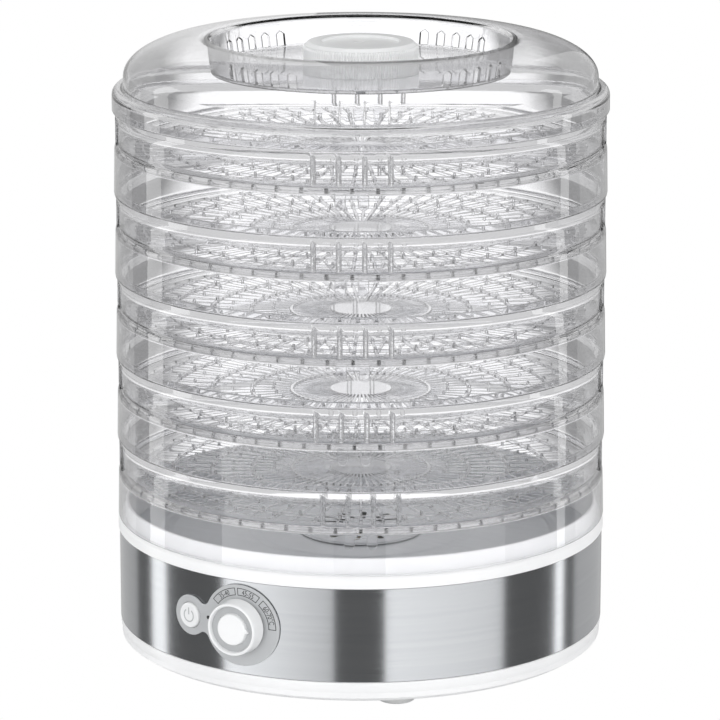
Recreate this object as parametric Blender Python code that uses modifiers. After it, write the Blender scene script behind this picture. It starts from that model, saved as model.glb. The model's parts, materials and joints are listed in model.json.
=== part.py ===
"""Round food dehydrator: heated base, five stacking trays and a lid with a rotary vent.

Metres, +Z up. The origin is on the vertical axis of the stack, at the height of the
surface the feet stand on. The control panel faces -Y. Azimuths are measured from -Y
towards +X, anticlockwise as seen from above.
"""

import math

import bmesh
import bpy
from mathutils import Matrix, Vector

# ---------------------------------------------------------------------------
# Driving dimensions
# ---------------------------------------------------------------------------

# Clearances
TOUCH_GAP = 0.0003          # between two pieces that rest on each other
RUNNING_GAP = 0.0003        # round a shaft, a stem or a peg
STACK_GAP = 0.0006          # radial play of a tray's lip inside the skirt above

# Stack
SKIRT_RADIUS = 0.1593       # outside of a tray's skirt, and of the base's top edge
TRAY_COUNT = 5
TRAY_PITCH = 0.0535         # height that each tray adds
TRAY_WALL = 0.0018
TRAY_FLOOR = 0.0024
SKIRT_DROP = 0.0290         # from a tray's floor level down to the foot of its skirt
NECK_INSET = 0.0027         # how far the neck stands in from the skirt
SHOULDER_LOW = 0.0025       # heights above the floor level
SHOULDER_HIGH = 0.0070
RIM_FLARE = 0.0062          # height over which the neck flares out to its seat
LIP_HEIGHT = 0.0041         # centring lip above the seat
TRAY_SLOTS = 12             # air slots through the floor
TRAY_SLOT_INNER = 0.0560
TRAY_SLOT_MARGIN = 0.0110   # from the slots' outer ends to the wall
TRAY_SLOT_WIDTH = 0.0280

# Base
FOOT_RADIUS = 0.0130
FOOT_HEIGHT = 0.0062
FOOT_INSET = 0.0273         # foot centres in from the skirt's radius
FOOT_PEG_RADIUS = 0.0032
FOOT_PEG_RISE = 0.0010      # peg above the pan's floor
FOOT_CHAMFER = 0.0010
PAN_WALL = 0.0025
PAN_FILLET = 0.0120
PAN_RIM = 0.0015            # upright edge above the fillet
PAN_INSET = 0.0002          # how far that edge lies in from the band
PAN_UPSTAND = 0.0100        # inner wall that rises behind the steel band
BAND_HEIGHT = 0.0605
BAND_THICKNESS = 0.0006
BAND_INSET = 0.0006         # how far the band lies in from the top edge
SHELL_WALL = 0.0022
SHELL_EDGE = (0.0012, 0.0022)   # slope of the seat's outer edge
SHELL_SHOULDER = 0.0082     # band's top edge to the seat of the lowest tray
COLLAR_HEIGHT = 0.0105      # centring collar above that seat
DECK_DROP = 0.0134          # deck's top below that seat
DECK_THICKNESS = 0.0012
LEDGE_WIDTH = 0.0160
LEDGE_THICKNESS = 0.0022

# Air path
FAN_RADIUS = 0.0540
FAN_HEIGHT = 0.0120
FAN_BLADES = 7
FAN_RISE = 0.0040           # hub above the motor
BLADE_CHORD = 0.0160
BLADE_THICKNESS = 0.0012
BLADE_PITCH = 32.0
FAN_HUB_RADIUS = 0.0090
DUCT_GAP = 0.0080           # fan tip to air duct
DUCT_WALL = 0.0008
DUCT_FLANGE = 0.0080        # flange beyond the duct
DUCT_RISE = 0.0080          # duct's foot above the bracket
COVER_THICKNESS = 0.0014
COVER_CHAMFER = 0.0008
OUTLET_SLOT_WIDTH = 0.0045
OUTLET_RADIUS = 0.0363      # hole in the deck
OUTLET_OVERLAP = 0.0049     # cover beyond the hole
OUTLET_SLOTS = 12
INTAKE_SLOTS = 8
INTAKE_INNER = 0.0260
INTAKE_OUTER = 0.0480
INTAKE_WIDTH = 0.0080

# Drive and heater
MOTOR_RADIUS = 0.0210
MOTOR_HEIGHT = 0.0200
SHAFT_RADIUS = 0.0015
BRACKET_SPAN = 0.1040       # between its two screws
BRACKET_WIDTH = 0.0160
BRACKET_THICKNESS = 0.0015
BRACKET_HEIGHT = 0.0150     # underside above the ground
COIL_RADIUS = 0.0400
COIL_THICKNESS = 0.0030
HEATER_HEIGHT = 0.0100
HEATER_DROP = 0.0025        # heater's top below the ledge
COIL_INSET = 0.0010         # coil's top below the mica's
FUSE_RADIUS = 0.0020
FUSE_LENGTH = 0.0120
MICA_THICKNESS = 0.0010

# Control panel
KNOB_OFFSET = 0.0192        # sideways from the middle of the panel
BUTTON_OFFSET = -0.0195
PANEL_RISE = 0.0319         # centre of the controls above the band's lower edge
KNOB_BORDER = 0.0095        # bezel round the knob's base and round the button
BUTTON_BORDER = 0.0048
BEZEL_NECK_RADIUS = 0.0045  # concave fillets between the two circles
BEZEL_THICKNESS = 0.0012
KNOB_BASE_RADIUS = 0.0176
KNOB_FRONT_RADIUS = 0.0163
KNOB_LENGTH = 0.0115
KNOB_WALL = 0.0018
KNOB_RECESS = 0.0035
KNOB_DISC_RADIUS = 0.0099
KNOB_SHAFT_RADIUS = 0.0030
BUTTON_RADIUS = 0.0082
BUTTON_HEIGHT = 0.0016      # how far it stands out of the bezel
BUTTON_FLANGE = 0.0015
BUTTON_TRAVEL = 0.0014
THERMOSTAT_SIZE = (0.0300, 0.0260, 0.0240)
SWITCH_SIZE = (0.0190, 0.0190, 0.0240)

# Lid
LID_OVERHANG = 0.0007       # flange beyond the skirts
LID_WALL = 0.0020
FLANGE_HEIGHT = 0.0146      # foot of the flange to its top edge
FLANGE_ROUND = 0.0050
DOME_INSET = 0.0074         # dome's wall in from the flange
DOME_STRAIGHT = 0.0066      # upright part of the dome's wall
DOME_RUN = 0.0520           # horizontal and vertical reach of its rounded part
DOME_RISE = 0.0241
CROWN_FLAT = 0.0040         # flat ring between the dome and the well
WELL_DEPTH = 0.0186
WELL_TAPER = 0.0030
VENT_GROUPS = 4
VENT_SLOTS = 5
VENT_SPACING = 7.5          # degrees between slots
VENT_AZIMUTH = -6.0
VENT_WIDTH = 0.0065
VENT_HEIGHT = 0.0078
VENT_PEAK = 0.0020

# Rotary vent
VENT_KNOB_RADIUS = 0.0371
VENT_KNOB_HEIGHT = 0.0158
VENT_KNOB_WALL = 0.0020
VENT_DISH_RADIUS = 0.0253
VENT_DISH_DEPTH = 0.0015
SHUTTER_THICKNESS = 0.0012
PORT_COUNT = 4              # sector openings under the knob
PORT_INNER = 0.0120
PORT_MARGIN = 0.0081        # from the ports' outer ends to the knob's side
SHUTTER_MARGIN = 0.0030     # shutter beyond its ports
PORT_WIDTH = 0.0120
PIVOT_RADIUS = 0.0030

# Fixings
SCREW_RADIUS = 0.0017
SCREW_HEAD_RADIUS = 0.0036
SCREW_HEAD_HEIGHT = 0.0020
SCREW_LENGTH = 0.0160
SCREW_POINT = 0.0015
BRACKET_SCREW_LENGTH = 0.0065
BOSS_RADIUS = 0.0045
BOSS_CIRCLE_INSET = 0.0180  # boss centres in from the skirt's radius
BOSS_AZIMUTHS = (65.0, 115.0, 245.0, 295.0)
FOOT_AZIMUTHS = (45.0, 135.0, 225.0, 315.0)

# Mains entry and wiring
GLAND_HEIGHT = 0.0430
GLAND_BORE = 0.0033
GLAND_RADIUS = 0.0062
GLAND_COLLAR = 0.0090
GLAND_LIP = 0.0020          # thickness of that collar
GLAND_LENGTH = 0.0160
TERMINAL_SIZE = (0.0340, 0.0140, 0.0120)
TERMINAL_INSET = 0.0200     # block in from the circle of the feet
WIRE_RADIUS = 0.0011
WIRE_CLEARANCE = 0.0036     # lowest wire above the pan's floor

# Facets
RING_STEPS = 32
SMALL_STEPS = 16
SCREW_STEPS = 8
ARC_STEPS = 4

# ---------------------------------------------------------------------------
# Levels and radii that follow from them
# ---------------------------------------------------------------------------

PAN_BOTTOM = FOOT_HEIGHT + TOUCH_GAP
PAN_FLOOR = PAN_BOTTOM + PAN_WALL
PAN_TOP = PAN_BOTTOM + PAN_FILLET + PAN_RIM
BAND_BOTTOM = PAN_TOP + TOUCH_GAP
BAND_TOP = BAND_BOTTOM + BAND_HEIGHT
BASE_SEAT = BAND_TOP + TOUCH_GAP + SHELL_SHOULDER
DECK_TOP = BASE_SEAT - DECK_DROP
DECK_BOTTOM = DECK_TOP - DECK_THICKNESS
LEDGE_TOP = DECK_BOTTOM - TOUCH_GAP
LEDGE_BOTTOM = LEDGE_TOP - LEDGE_THICKNESS
LOWEST_FLOOR = BASE_SEAT + TOUCH_GAP + SKIRT_DROP
TRAY_SEAT = TRAY_PITCH - SKIRT_DROP - TOUCH_GAP
TOP_SEAT = LOWEST_FLOOR + (TRAY_COUNT - 1) * TRAY_PITCH + TRAY_SEAT
LID_BOTTOM = TOP_SEAT + TOUCH_GAP
FLANGE_TOP = LID_BOTTOM + FLANGE_HEIGHT
LID_TOP = FLANGE_TOP + DOME_STRAIGHT + DOME_RISE
WELL_FLOOR = LID_TOP - WELL_DEPTH

BAND_RADIUS = SKIRT_RADIUS - BAND_INSET
INNER_RADIUS = BAND_RADIUS - BAND_THICKNESS - TOUCH_GAP
SHELL_INNER = INNER_RADIUS - SHELL_WALL
NECK_RADIUS = SKIRT_RADIUS - NECK_INSET
LIP_RADIUS = SKIRT_RADIUS - TRAY_WALL - STACK_GAP
COLLAR_RADIUS = NECK_RADIUS - TRAY_WALL - STACK_GAP
COLLAR_INNER = COLLAR_RADIUS - SHELL_WALL
DECK_RADIUS = COLLAR_INNER - TOUCH_GAP
BOSS_CIRCLE = SKIRT_RADIUS - BOSS_CIRCLE_INSET
FOOT_CIRCLE = SKIRT_RADIUS - FOOT_INSET
LID_RADIUS = SKIRT_RADIUS + LID_OVERHANG
DOME_RADIUS = LID_RADIUS - DOME_INSET
OUTLET_COVER_RADIUS = OUTLET_RADIUS + OUTLET_OVERLAP
PORT_OUTER = VENT_KNOB_RADIUS - PORT_MARGIN
PANEL_HEIGHT = BAND_BOTTOM + PANEL_RISE
KNOB_AZIMUTH = math.degrees(math.asin(KNOB_OFFSET / BAND_RADIUS))
BUTTON_AZIMUTH = math.degrees(math.asin(BUTTON_OFFSET / BAND_RADIUS))
BEZEL_KNOB_RADIUS = KNOB_BASE_RADIUS + KNOB_BORDER
BEZEL_BUTTON_RADIUS = BUTTON_RADIUS + BUTTON_BORDER
BEZEL_BACK = BAND_RADIUS + TOUCH_GAP
BEZEL_FRONT = BEZEL_BACK + BEZEL_THICKNESS
CROWN_RADIUS = DOME_RADIUS - DOME_RUN
WELL_RADIUS = CROWN_RADIUS - CROWN_FLAT
DUCT_RADIUS = FAN_RADIUS + DUCT_GAP
MOTOR_BOTTOM = BRACKET_HEIGHT + BRACKET_THICKNESS + TOUCH_GAP
MOTOR_TOP = MOTOR_BOTTOM + MOTOR_HEIGHT
FAN_BOTTOM = MOTOR_TOP + FAN_RISE
FAN_TOP = FAN_BOTTOM + FAN_HEIGHT
HEATER_TOP = LEDGE_TOP - HEATER_DROP
HEATER_BOTTOM = HEATER_TOP - HEATER_HEIGHT
COIL_HEIGHT = HEATER_TOP - COIL_THICKNESS - COIL_INSET


# ---------------------------------------------------------------------------
# Scene, materials and modelling helpers
# ---------------------------------------------------------------------------


def clear_scene():
    """Remove every object, so the script can be run again in an open file."""
    for obj in list(bpy.data.objects):
        bpy.data.objects.remove(obj, do_unlink=True)


def new_collection(name):
    collection = bpy.data.collections.new(name)
    bpy.context.scene.collection.children.link(collection)
    return collection


def new_material(name, colour, roughness, metallic=0.0, alpha=1.0):
    material = bpy.data.materials.new(name)
    material.use_nodes = True
    shader = material.node_tree.nodes["Principled BSDF"]
    shader.inputs["Base Color"].default_value = (*colour, 1.0)
    shader.inputs["Roughness"].default_value = roughness
    shader.inputs["Metallic"].default_value = metallic
    shader.inputs["Alpha"].default_value = alpha
    return material


clear_scene()
PARTS = new_collection("food_dehydrator")
CUTTERS = new_collection("cutters")

CLEAR = ((0.86, 0.88, 0.89), 0.06, 0.0, 0.35)
WHITE = ((0.86, 0.87, 0.88), 0.35)
SILVER_GREY = ((0.56, 0.57, 0.58), 0.40)
STEEL = ((0.60, 0.61, 0.62), 0.30, 1.0)
ZINC = ((0.55, 0.56, 0.58), 0.40, 1.0)
BLACK_RUBBER = ((0.03, 0.03, 0.03), 0.80)
WHITE_RUBBER = ((0.80, 0.80, 0.79), 0.60)
MICA = ((0.62, 0.55, 0.42), 0.60)
DARK = ((0.05, 0.05, 0.05), 0.50)
COPPER = ((0.60, 0.30, 0.15), 0.35, 1.0)


def add_object(name, mesh, finish=None, matrix=None):
    """Link a mesh as a part with its own material or, with no finish, as a cutter."""
    obj = bpy.data.objects.new(name, mesh)
    if matrix is not None:
        obj.matrix_world = matrix
    if finish is None:
        obj.hide_render = True
        obj.display_type = "WIRE"
        CUTTERS.objects.link(obj)
    else:
        mesh.materials.append(new_material(name, *finish))
        PARTS.objects.link(obj)
    return obj


def mesh_from(bm, name):
    mesh = bpy.data.meshes.new(name)
    bm.to_mesh(mesh)
    bm.free()
    return mesh


def turned(name, outline, finish=None, steps=RING_STEPS, matrix=None):
    """Turn an outline of (radius, height) points about Z.

    The outline runs down its outer side. It is closed onto itself unless both of its
    ends lie on the axis.
    """
    bm = bmesh.new()
    points = [bm.verts.new((radius, 0.0, height)) for radius, height in outline]
    for first, second in zip(points, points[1:]):
        bm.edges.new((first, second))
    if outline[0][0] > 0.0 or outline[-1][0] > 0.0:
        bm.edges.new((points[-1], points[0]))
    obj = add_object(name, mesh_from(bm, name), finish, matrix)
    screw = obj.modifiers.new("turn", "SCREW")
    screw.axis = "Z"
    screw.angle = math.tau
    screw.steps = steps
    screw.render_steps = steps
    screw.use_merge_vertices = True
    screw.merge_threshold = 0.00001
    return obj


def boxes(name, placed, finish=None, matrix=None):
    """One mesh of boxes, each given as ((length, width, height), matrix)."""
    bm = bmesh.new()
    for size, place in placed:
        scale = Matrix.Diagonal((*size, 1.0))
        bmesh.ops.create_cube(bm, size=1.0, matrix=place @ scale)
    return add_object(name, mesh_from(bm, name), finish, matrix)


def cylinders(name, placed, finish=None, steps=SMALL_STEPS, matrix=None):
    """One mesh of cylinders, each given as (radius, length, matrix of its centre)."""
    bm = bmesh.new()
    for radius, length, place in placed:
        bmesh.ops.create_cone(bm, cap_ends=True, segments=steps, radius1=radius,
                              radius2=radius, depth=length, matrix=place)
    return add_object(name, mesh_from(bm, name), finish, matrix)


def combine(obj, other, operation="DIFFERENCE"):
    """Add a Boolean modifier that cuts, joins or intersects with another object."""
    boolean = obj.modifiers.new(operation.lower(), "BOOLEAN")
    boolean.operation = operation
    boolean.solver = "EXACT"
    boolean.object = other
    return obj


def outline_prism(name, points, depth, matrix):
    """A cutter of a flat outline, extruded to both sides of its plane."""
    curve = bpy.data.curves.new(name, "CURVE")
    curve.dimensions = "2D"
    curve.fill_mode = "BOTH"
    curve.extrude = depth / 2
    spline = curve.splines.new("POLY")
    spline.points.add(len(points) - 1)
    for point, (across, up) in zip(spline.points, points):
        point.co = (across, up, 0.0, 1.0)
    spline.use_cyclic_u = True
    source = bpy.data.objects.new(name + "_outline", curve)
    bpy.context.scene.collection.objects.link(source)
    graph = bpy.context.evaluated_depsgraph_get()
    mesh = bpy.data.meshes.new_from_object(source.evaluated_get(graph))
    bpy.data.objects.remove(source, do_unlink=True)
    bm = bmesh.new()
    bm.from_mesh(mesh)
    bmesh.ops.remove_doubles(bm, verts=bm.verts, dist=0.000001)
    bmesh.ops.recalc_face_normals(bm, faces=bm.faces)
    bm.to_mesh(mesh)
    bm.free()
    return add_object(name, mesh, None, matrix)


def arc(centre, reach, start, end, steps=ARC_STEPS):
    """Points along an ellipse quarter or any arc, ends included; angles in degrees."""
    points = []
    for step in range(steps + 1):
        angle = math.radians(start + (end - start) * step / steps)
        points.append((centre[0] + reach[0] * math.cos(angle),
                       centre[1] + reach[1] * math.sin(angle)))
    return points


def at_azimuth(azimuth, radius=0.0, height=0.0):
    """A frame standing upright: X points outwards and Z up."""
    turn = Matrix.Rotation(math.radians(azimuth - 90.0), 4, "Z")
    return turn @ Matrix.Translation((radius, 0.0, height))


def facing_out(azimuth, radius, height):
    """A frame on the side wall: X to the right seen from outside, Y up and Z outwards."""
    angle = math.radians(azimuth)
    right = Vector((math.cos(angle), math.sin(angle), 0.0))
    out = Vector((math.sin(angle), -math.cos(angle), 0.0))
    up = Vector((0.0, 0.0, 1.0))
    place = out * radius + up * height
    rows = [(right[i], up[i], out[i], place[i]) for i in range(3)]
    return Matrix((*rows, (0.0, 0.0, 0.0, 1.0)))


def tube(name, points, radius, finish):
    """A wire along hand-placed points, smoothed into a poly curve."""
    curve = bpy.data.curves.new(name, "CURVE")
    curve.dimensions = "3D"
    curve.bevel_depth = radius
    curve.bevel_resolution = 1
    curve.use_fill_caps = True
    curve.materials.append(new_material(name, *finish))
    path = smooth_path([Vector(point) for point in points])
    spline = curve.splines.new("POLY")
    spline.points.add(len(path) - 1)
    for point, place in zip(spline.points, path):
        point.co = (*place, 1.0)
    obj = bpy.data.objects.new(name, curve)
    PARTS.objects.link(obj)
    return obj


def smooth_path(points, steps=3):
    """Catmull-Rom points through the given ones."""
    ends = [points[0] * 2 - points[1], *points, points[-1] * 2 - points[-2]]
    path = []
    for a, b, c, d in zip(ends, ends[1:], ends[2:], ends[3:]):
        for step in range(steps):
            t = step / steps
            path.append(0.5 * (2 * b + (c - a) * t + (2 * a - 5 * b + 4 * c - d) * t * t
                               + (3 * b - a - 3 * c + d) * t ** 3))
    return [*path, points[-1]]


# ---------------------------------------------------------------------------
# Base
# ---------------------------------------------------------------------------

BRACKET_ENDS = (-BRACKET_SPAN / 2, BRACKET_SPAN / 2)


def base_pan():
    """White underpan: fillet, floor with the air intake, upstand behind the band."""
    outer = BAND_RADIUS - PAN_INSET
    upstand_top = BAND_BOTTOM + PAN_UPSTAND
    centre = (outer - PAN_FILLET, PAN_BOTTOM + PAN_FILLET)
    inner_reach = PAN_FILLET - PAN_WALL
    outline = [(0.0, PAN_FLOOR)]
    outline += arc(centre, (inner_reach, inner_reach), -90, -10, 2)
    outline += [
        (SHELL_INNER, PAN_TOP),
        (SHELL_INNER, upstand_top),
        (INNER_RADIUS, upstand_top),
        (INNER_RADIUS, PAN_TOP),
        (outer, PAN_TOP),
    ]
    outline += arc(centre, (PAN_FILLET, PAN_FILLET), 0, -90)
    outline += [(0.0, PAN_BOTTOM)]
    pan = turned("base_pan", outline, WHITE)

    post_height = BRACKET_HEIGHT - TOUCH_GAP - PAN_BOTTOM - PAN_WALL / 2
    post_middle = PAN_BOTTOM + PAN_WALL / 2 + post_height / 2
    posts = cylinders("bracket_posts", [
        (BOSS_RADIUS, post_height, Matrix.Translation((x, 0.0, post_middle)))
        for x in BRACKET_ENDS], steps=12)
    combine(pan, posts, "UNION")

    slot = (INTAKE_OUTER - INTAKE_INNER, INTAKE_WIDTH, 4 * PAN_WALL)
    slot_place = (INTAKE_OUTER + INTAKE_INNER) / 2
    slots = boxes("intake_slots", [
        (slot, at_azimuth(360.0 * (i + 0.5) / INTAKE_SLOTS, slot_place, PAN_BOTTOM))
        for i in range(INTAKE_SLOTS)])
    combine(pan, slots)

    holes = [(FOOT_PEG_RADIUS + RUNNING_GAP, 4 * PAN_WALL,
              at_azimuth(azimuth, FOOT_CIRCLE, PAN_BOTTOM)) for azimuth in FOOT_AZIMUTHS]
    holes += [(SCREW_RADIUS + RUNNING_GAP, 4 * PAN_WALL,
               at_azimuth(azimuth, BOSS_CIRCLE, PAN_BOTTOM)) for azimuth in BOSS_AZIMUTHS]
    pilot = BRACKET_HEIGHT - PAN_FLOOR
    holes += [(SCREW_RADIUS + RUNNING_GAP, 2 * pilot,
               Matrix.Translation((x, 0.0, BRACKET_HEIGHT))) for x in BRACKET_ENDS]
    combine(pan, cylinders("pan_holes", holes, steps=SCREW_STEPS))
    return pan


def feet():
    """Four rubber feet, each held by a peg in the pan's floor."""
    outline = [
        (0.0, PAN_FLOOR + FOOT_PEG_RISE),
        (FOOT_PEG_RADIUS, PAN_FLOOR + FOOT_PEG_RISE),
        (FOOT_PEG_RADIUS, FOOT_HEIGHT),
        (FOOT_RADIUS, FOOT_HEIGHT),
        (FOOT_RADIUS, FOOT_CHAMFER),
        (FOOT_RADIUS - FOOT_CHAMFER, 0.0),
        (0.0, 0.0),
    ]
    for number, azimuth in enumerate(FOOT_AZIMUTHS, 1):
        turned(f"foot_{number}", outline, WHITE_RUBBER, SMALL_STEPS,
               at_azimuth(azimuth, FOOT_CIRCLE))


def wall_openings():
    """Cutters for the knob's shaft, the button and the cord gland, shared by the walls."""
    reach = 0.030
    placed = [
        (KNOB_SHAFT_RADIUS + RUNNING_GAP, reach,
         facing_out(KNOB_AZIMUTH, BAND_RADIUS, PANEL_HEIGHT)),
        (BUTTON_RADIUS + RUNNING_GAP, reach,
         facing_out(BUTTON_AZIMUTH, BAND_RADIUS, PANEL_HEIGHT)),
        (GLAND_RADIUS + RUNNING_GAP, reach, facing_out(180.0, BAND_RADIUS, GLAND_HEIGHT)),
    ]
    return cylinders("wall_openings", placed)


def steel_band(openings):
    """Brushed sheet-steel sleeve round the base."""
    inner = BAND_RADIUS - BAND_THICKNESS
    outline = [
        (inner, BAND_TOP),
        (BAND_RADIUS, BAND_TOP),
        (BAND_RADIUS, BAND_BOTTOM),
        (inner, BAND_BOTTOM),
    ]
    return combine(turned("steel_band", outline, STEEL), openings)


def upper_shell(openings):
    """White ring that holds the band from above, with ledge, bosses and tray collar."""
    skirt_bottom = BAND_BOTTOM + PAN_UPSTAND + TOUCH_GAP
    shoulder = BAND_TOP + TOUCH_GAP
    outline = [
        (COLLAR_INNER, BASE_SEAT + COLLAR_HEIGHT),
        (COLLAR_RADIUS, BASE_SEAT + COLLAR_HEIGHT),
        (COLLAR_RADIUS, BASE_SEAT),
        (SKIRT_RADIUS - SHELL_EDGE[0], BASE_SEAT),
        (SKIRT_RADIUS, BASE_SEAT - SHELL_EDGE[1]),
        (SKIRT_RADIUS + 0.0002, shoulder),
        (INNER_RADIUS, shoulder),
        (INNER_RADIUS, skirt_bottom),
        (SHELL_INNER, skirt_bottom),
        (SHELL_INNER, LEDGE_BOTTOM),
        (COLLAR_INNER - LEDGE_WIDTH, LEDGE_BOTTOM),
        (COLLAR_INNER - LEDGE_WIDTH, LEDGE_TOP),
        (COLLAR_INNER, LEDGE_TOP),
    ]
    shell = turned("upper_shell", outline, WHITE)
    boss_bottom = PAN_FLOOR + TOUCH_GAP
    boss_top = LEDGE_BOTTOM + LEDGE_THICKNESS / 2
    middle = (boss_bottom + boss_top) / 2
    bosses = cylinders("shell_bosses", [
        (BOSS_RADIUS, boss_top - boss_bottom, at_azimuth(azimuth, BOSS_CIRCLE, middle))
        for azimuth in BOSS_AZIMUTHS], steps=SCREW_STEPS)
    combine(shell, bosses, "UNION")
    pilots = cylinders("boss_pilots", [
        (SCREW_RADIUS + RUNNING_GAP, 2 * SCREW_LENGTH,
         at_azimuth(azimuth, BOSS_CIRCLE, boss_bottom)) for azimuth in BOSS_AZIMUTHS],
        steps=SCREW_STEPS)
    combine(shell, pilots)
    return combine(shell, openings)


def screw_outline(length):
    """A pan-head screw whose head faces up; the underside of its head is at height 0."""
    return [
        (0.0, SCREW_HEAD_HEIGHT),
        (0.6 * SCREW_HEAD_RADIUS, SCREW_HEAD_HEIGHT),
        (SCREW_HEAD_RADIUS, 0.5 * SCREW_HEAD_HEIGHT),
        (SCREW_HEAD_RADIUS, 0.0),
        (SCREW_RADIUS, 0.0),
        (SCREW_RADIUS, -length + SCREW_POINT),
        (0.0, -length),
    ]


def screws():
    """Housing screws up through the pan, and bracket screws down into their posts."""
    upside_down = Matrix.Rotation(math.pi, 4, "X")
    for number, azimuth in enumerate(BOSS_AZIMUTHS, 1):
        place = at_azimuth(azimuth, BOSS_CIRCLE, PAN_BOTTOM - TOUCH_GAP)
        turned(f"housing_screw_{number}", screw_outline(SCREW_LENGTH), ZINC, SCREW_STEPS,
               place @ upside_down)
    bracket_top = BRACKET_HEIGHT + BRACKET_THICKNESS + TOUCH_GAP
    for number, x in enumerate(BRACKET_ENDS, 1):
        turned(f"bracket_screw_{number}", screw_outline(BRACKET_SCREW_LENGTH), ZINC, SCREW_STEPS,
               Matrix.Translation((x, 0.0, bracket_top)))


def deck():
    """Metal deck over the heater, and the slotted cover of its central air outlet."""
    outline = [
        (OUTLET_RADIUS, DECK_TOP),
        (DECK_RADIUS, DECK_TOP),
        (DECK_RADIUS, DECK_BOTTOM),
        (OUTLET_RADIUS, DECK_BOTTOM),
    ]
    turned("deck_plate", outline, STEEL)
    cover_bottom = DECK_TOP + TOUCH_GAP
    spigot = OUTLET_RADIUS - RUNNING_GAP
    outline = [
        (0.0, cover_bottom + COVER_THICKNESS),
        (OUTLET_COVER_RADIUS - COVER_CHAMFER, cover_bottom + COVER_THICKNESS),
        (OUTLET_COVER_RADIUS, cover_bottom + COVER_THICKNESS - COVER_CHAMFER),
        (OUTLET_COVER_RADIUS, cover_bottom),
        (spigot, cover_bottom),
        (spigot, DECK_BOTTOM - 0.0005),
        (0.0, DECK_BOTTOM - 0.0005),
    ]
    cover = turned("outlet_grille", outline, STEEL, 24)
    length = 0.62 * OUTLET_RADIUS
    slots = boxes("outlet_slots", [
        ((length, OUTLET_SLOT_WIDTH, 0.020),
         at_azimuth(360.0 * i / OUTLET_SLOTS, 0.60 * OUTLET_RADIUS, DECK_TOP))
        for i in range(OUTLET_SLOTS)])
    return combine(cover, slots)


def air_path():
    """Sheet duct under the deck, motor on its bracket, shaft, fan and heater."""
    flange = DUCT_RADIUS + DUCT_FLANGE
    top = LEDGE_TOP
    turned("air_duct", [
        (DUCT_RADIUS, top),
        (flange, top),
        (flange, top - DUCT_WALL),
        (DUCT_RADIUS + DUCT_WALL, top - DUCT_WALL),
        (DUCT_RADIUS + DUCT_WALL, BRACKET_HEIGHT + DUCT_RISE),
        (DUCT_RADIUS, BRACKET_HEIGHT + DUCT_RISE),
    ], ZINC, 24)

    bar = (BRACKET_SPAN + BRACKET_WIDTH, BRACKET_WIDTH, BRACKET_THICKNESS)
    bar_middle = BRACKET_HEIGHT + BRACKET_THICKNESS / 2
    bracket = boxes("motor_bracket", [(bar, Matrix.Translation((0, 0, bar_middle)))], ZINC)
    combine(bracket, cylinders("bracket_holes", [
        (SCREW_RADIUS + RUNNING_GAP, 4 * BRACKET_THICKNESS,
         Matrix.Translation((x, 0.0, bar_middle))) for x in BRACKET_ENDS], steps=12))

    bore = SHAFT_RADIUS + RUNNING_GAP
    bore_bottom = MOTOR_TOP - 0.0060
    turned("fan_motor", [
        (bore, MOTOR_TOP),
        (0.30 * MOTOR_RADIUS, MOTOR_TOP),
        (0.30 * MOTOR_RADIUS, MOTOR_TOP - 0.0020),
        (MOTOR_RADIUS, MOTOR_TOP - 0.0020),
        (MOTOR_RADIUS, MOTOR_BOTTOM),
        (0.0, MOTOR_BOTTOM),
        (0.0, bore_bottom),
        (bore, bore_bottom),
    ], ZINC, SMALL_STEPS)

    shaft_bottom = bore_bottom + TOUCH_GAP
    shaft_top = FAN_TOP - 0.0015
    turned("motor_shaft", [
        (0.0, shaft_top),
        (SHAFT_RADIUS, shaft_top),
        (SHAFT_RADIUS, shaft_bottom),
        (0.0, shaft_bottom),
    ], STEEL, 12)

    fan = turned("fan_impeller", [
        (0.0, FAN_TOP + 0.0010),
        (FAN_HUB_RADIUS - 0.0010, FAN_TOP + 0.0010),
        (FAN_HUB_RADIUS, FAN_TOP),
        (FAN_HUB_RADIUS, FAN_BOTTOM),
        (bore, FAN_BOTTOM),
        (bore, shaft_top + TOUCH_GAP),
        (0.0, shaft_top + TOUCH_GAP),
    ], DARK, 14)
    root = FAN_HUB_RADIUS - 0.0020
    blade = (FAN_RADIUS - root, BLADE_CHORD, BLADE_THICKNESS)
    pitch = Matrix.Rotation(math.radians(BLADE_PITCH), 4, "X")
    middle = (FAN_TOP + FAN_BOTTOM) / 2
    blades = boxes("fan_blades", [
        (blade, at_azimuth(360.0 * (i + 0.25) / FAN_BLADES, (FAN_RADIUS + root) / 2, middle)
         @ pitch) for i in range(FAN_BLADES)])
    return combine(fan, blades, "UNION")


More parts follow.
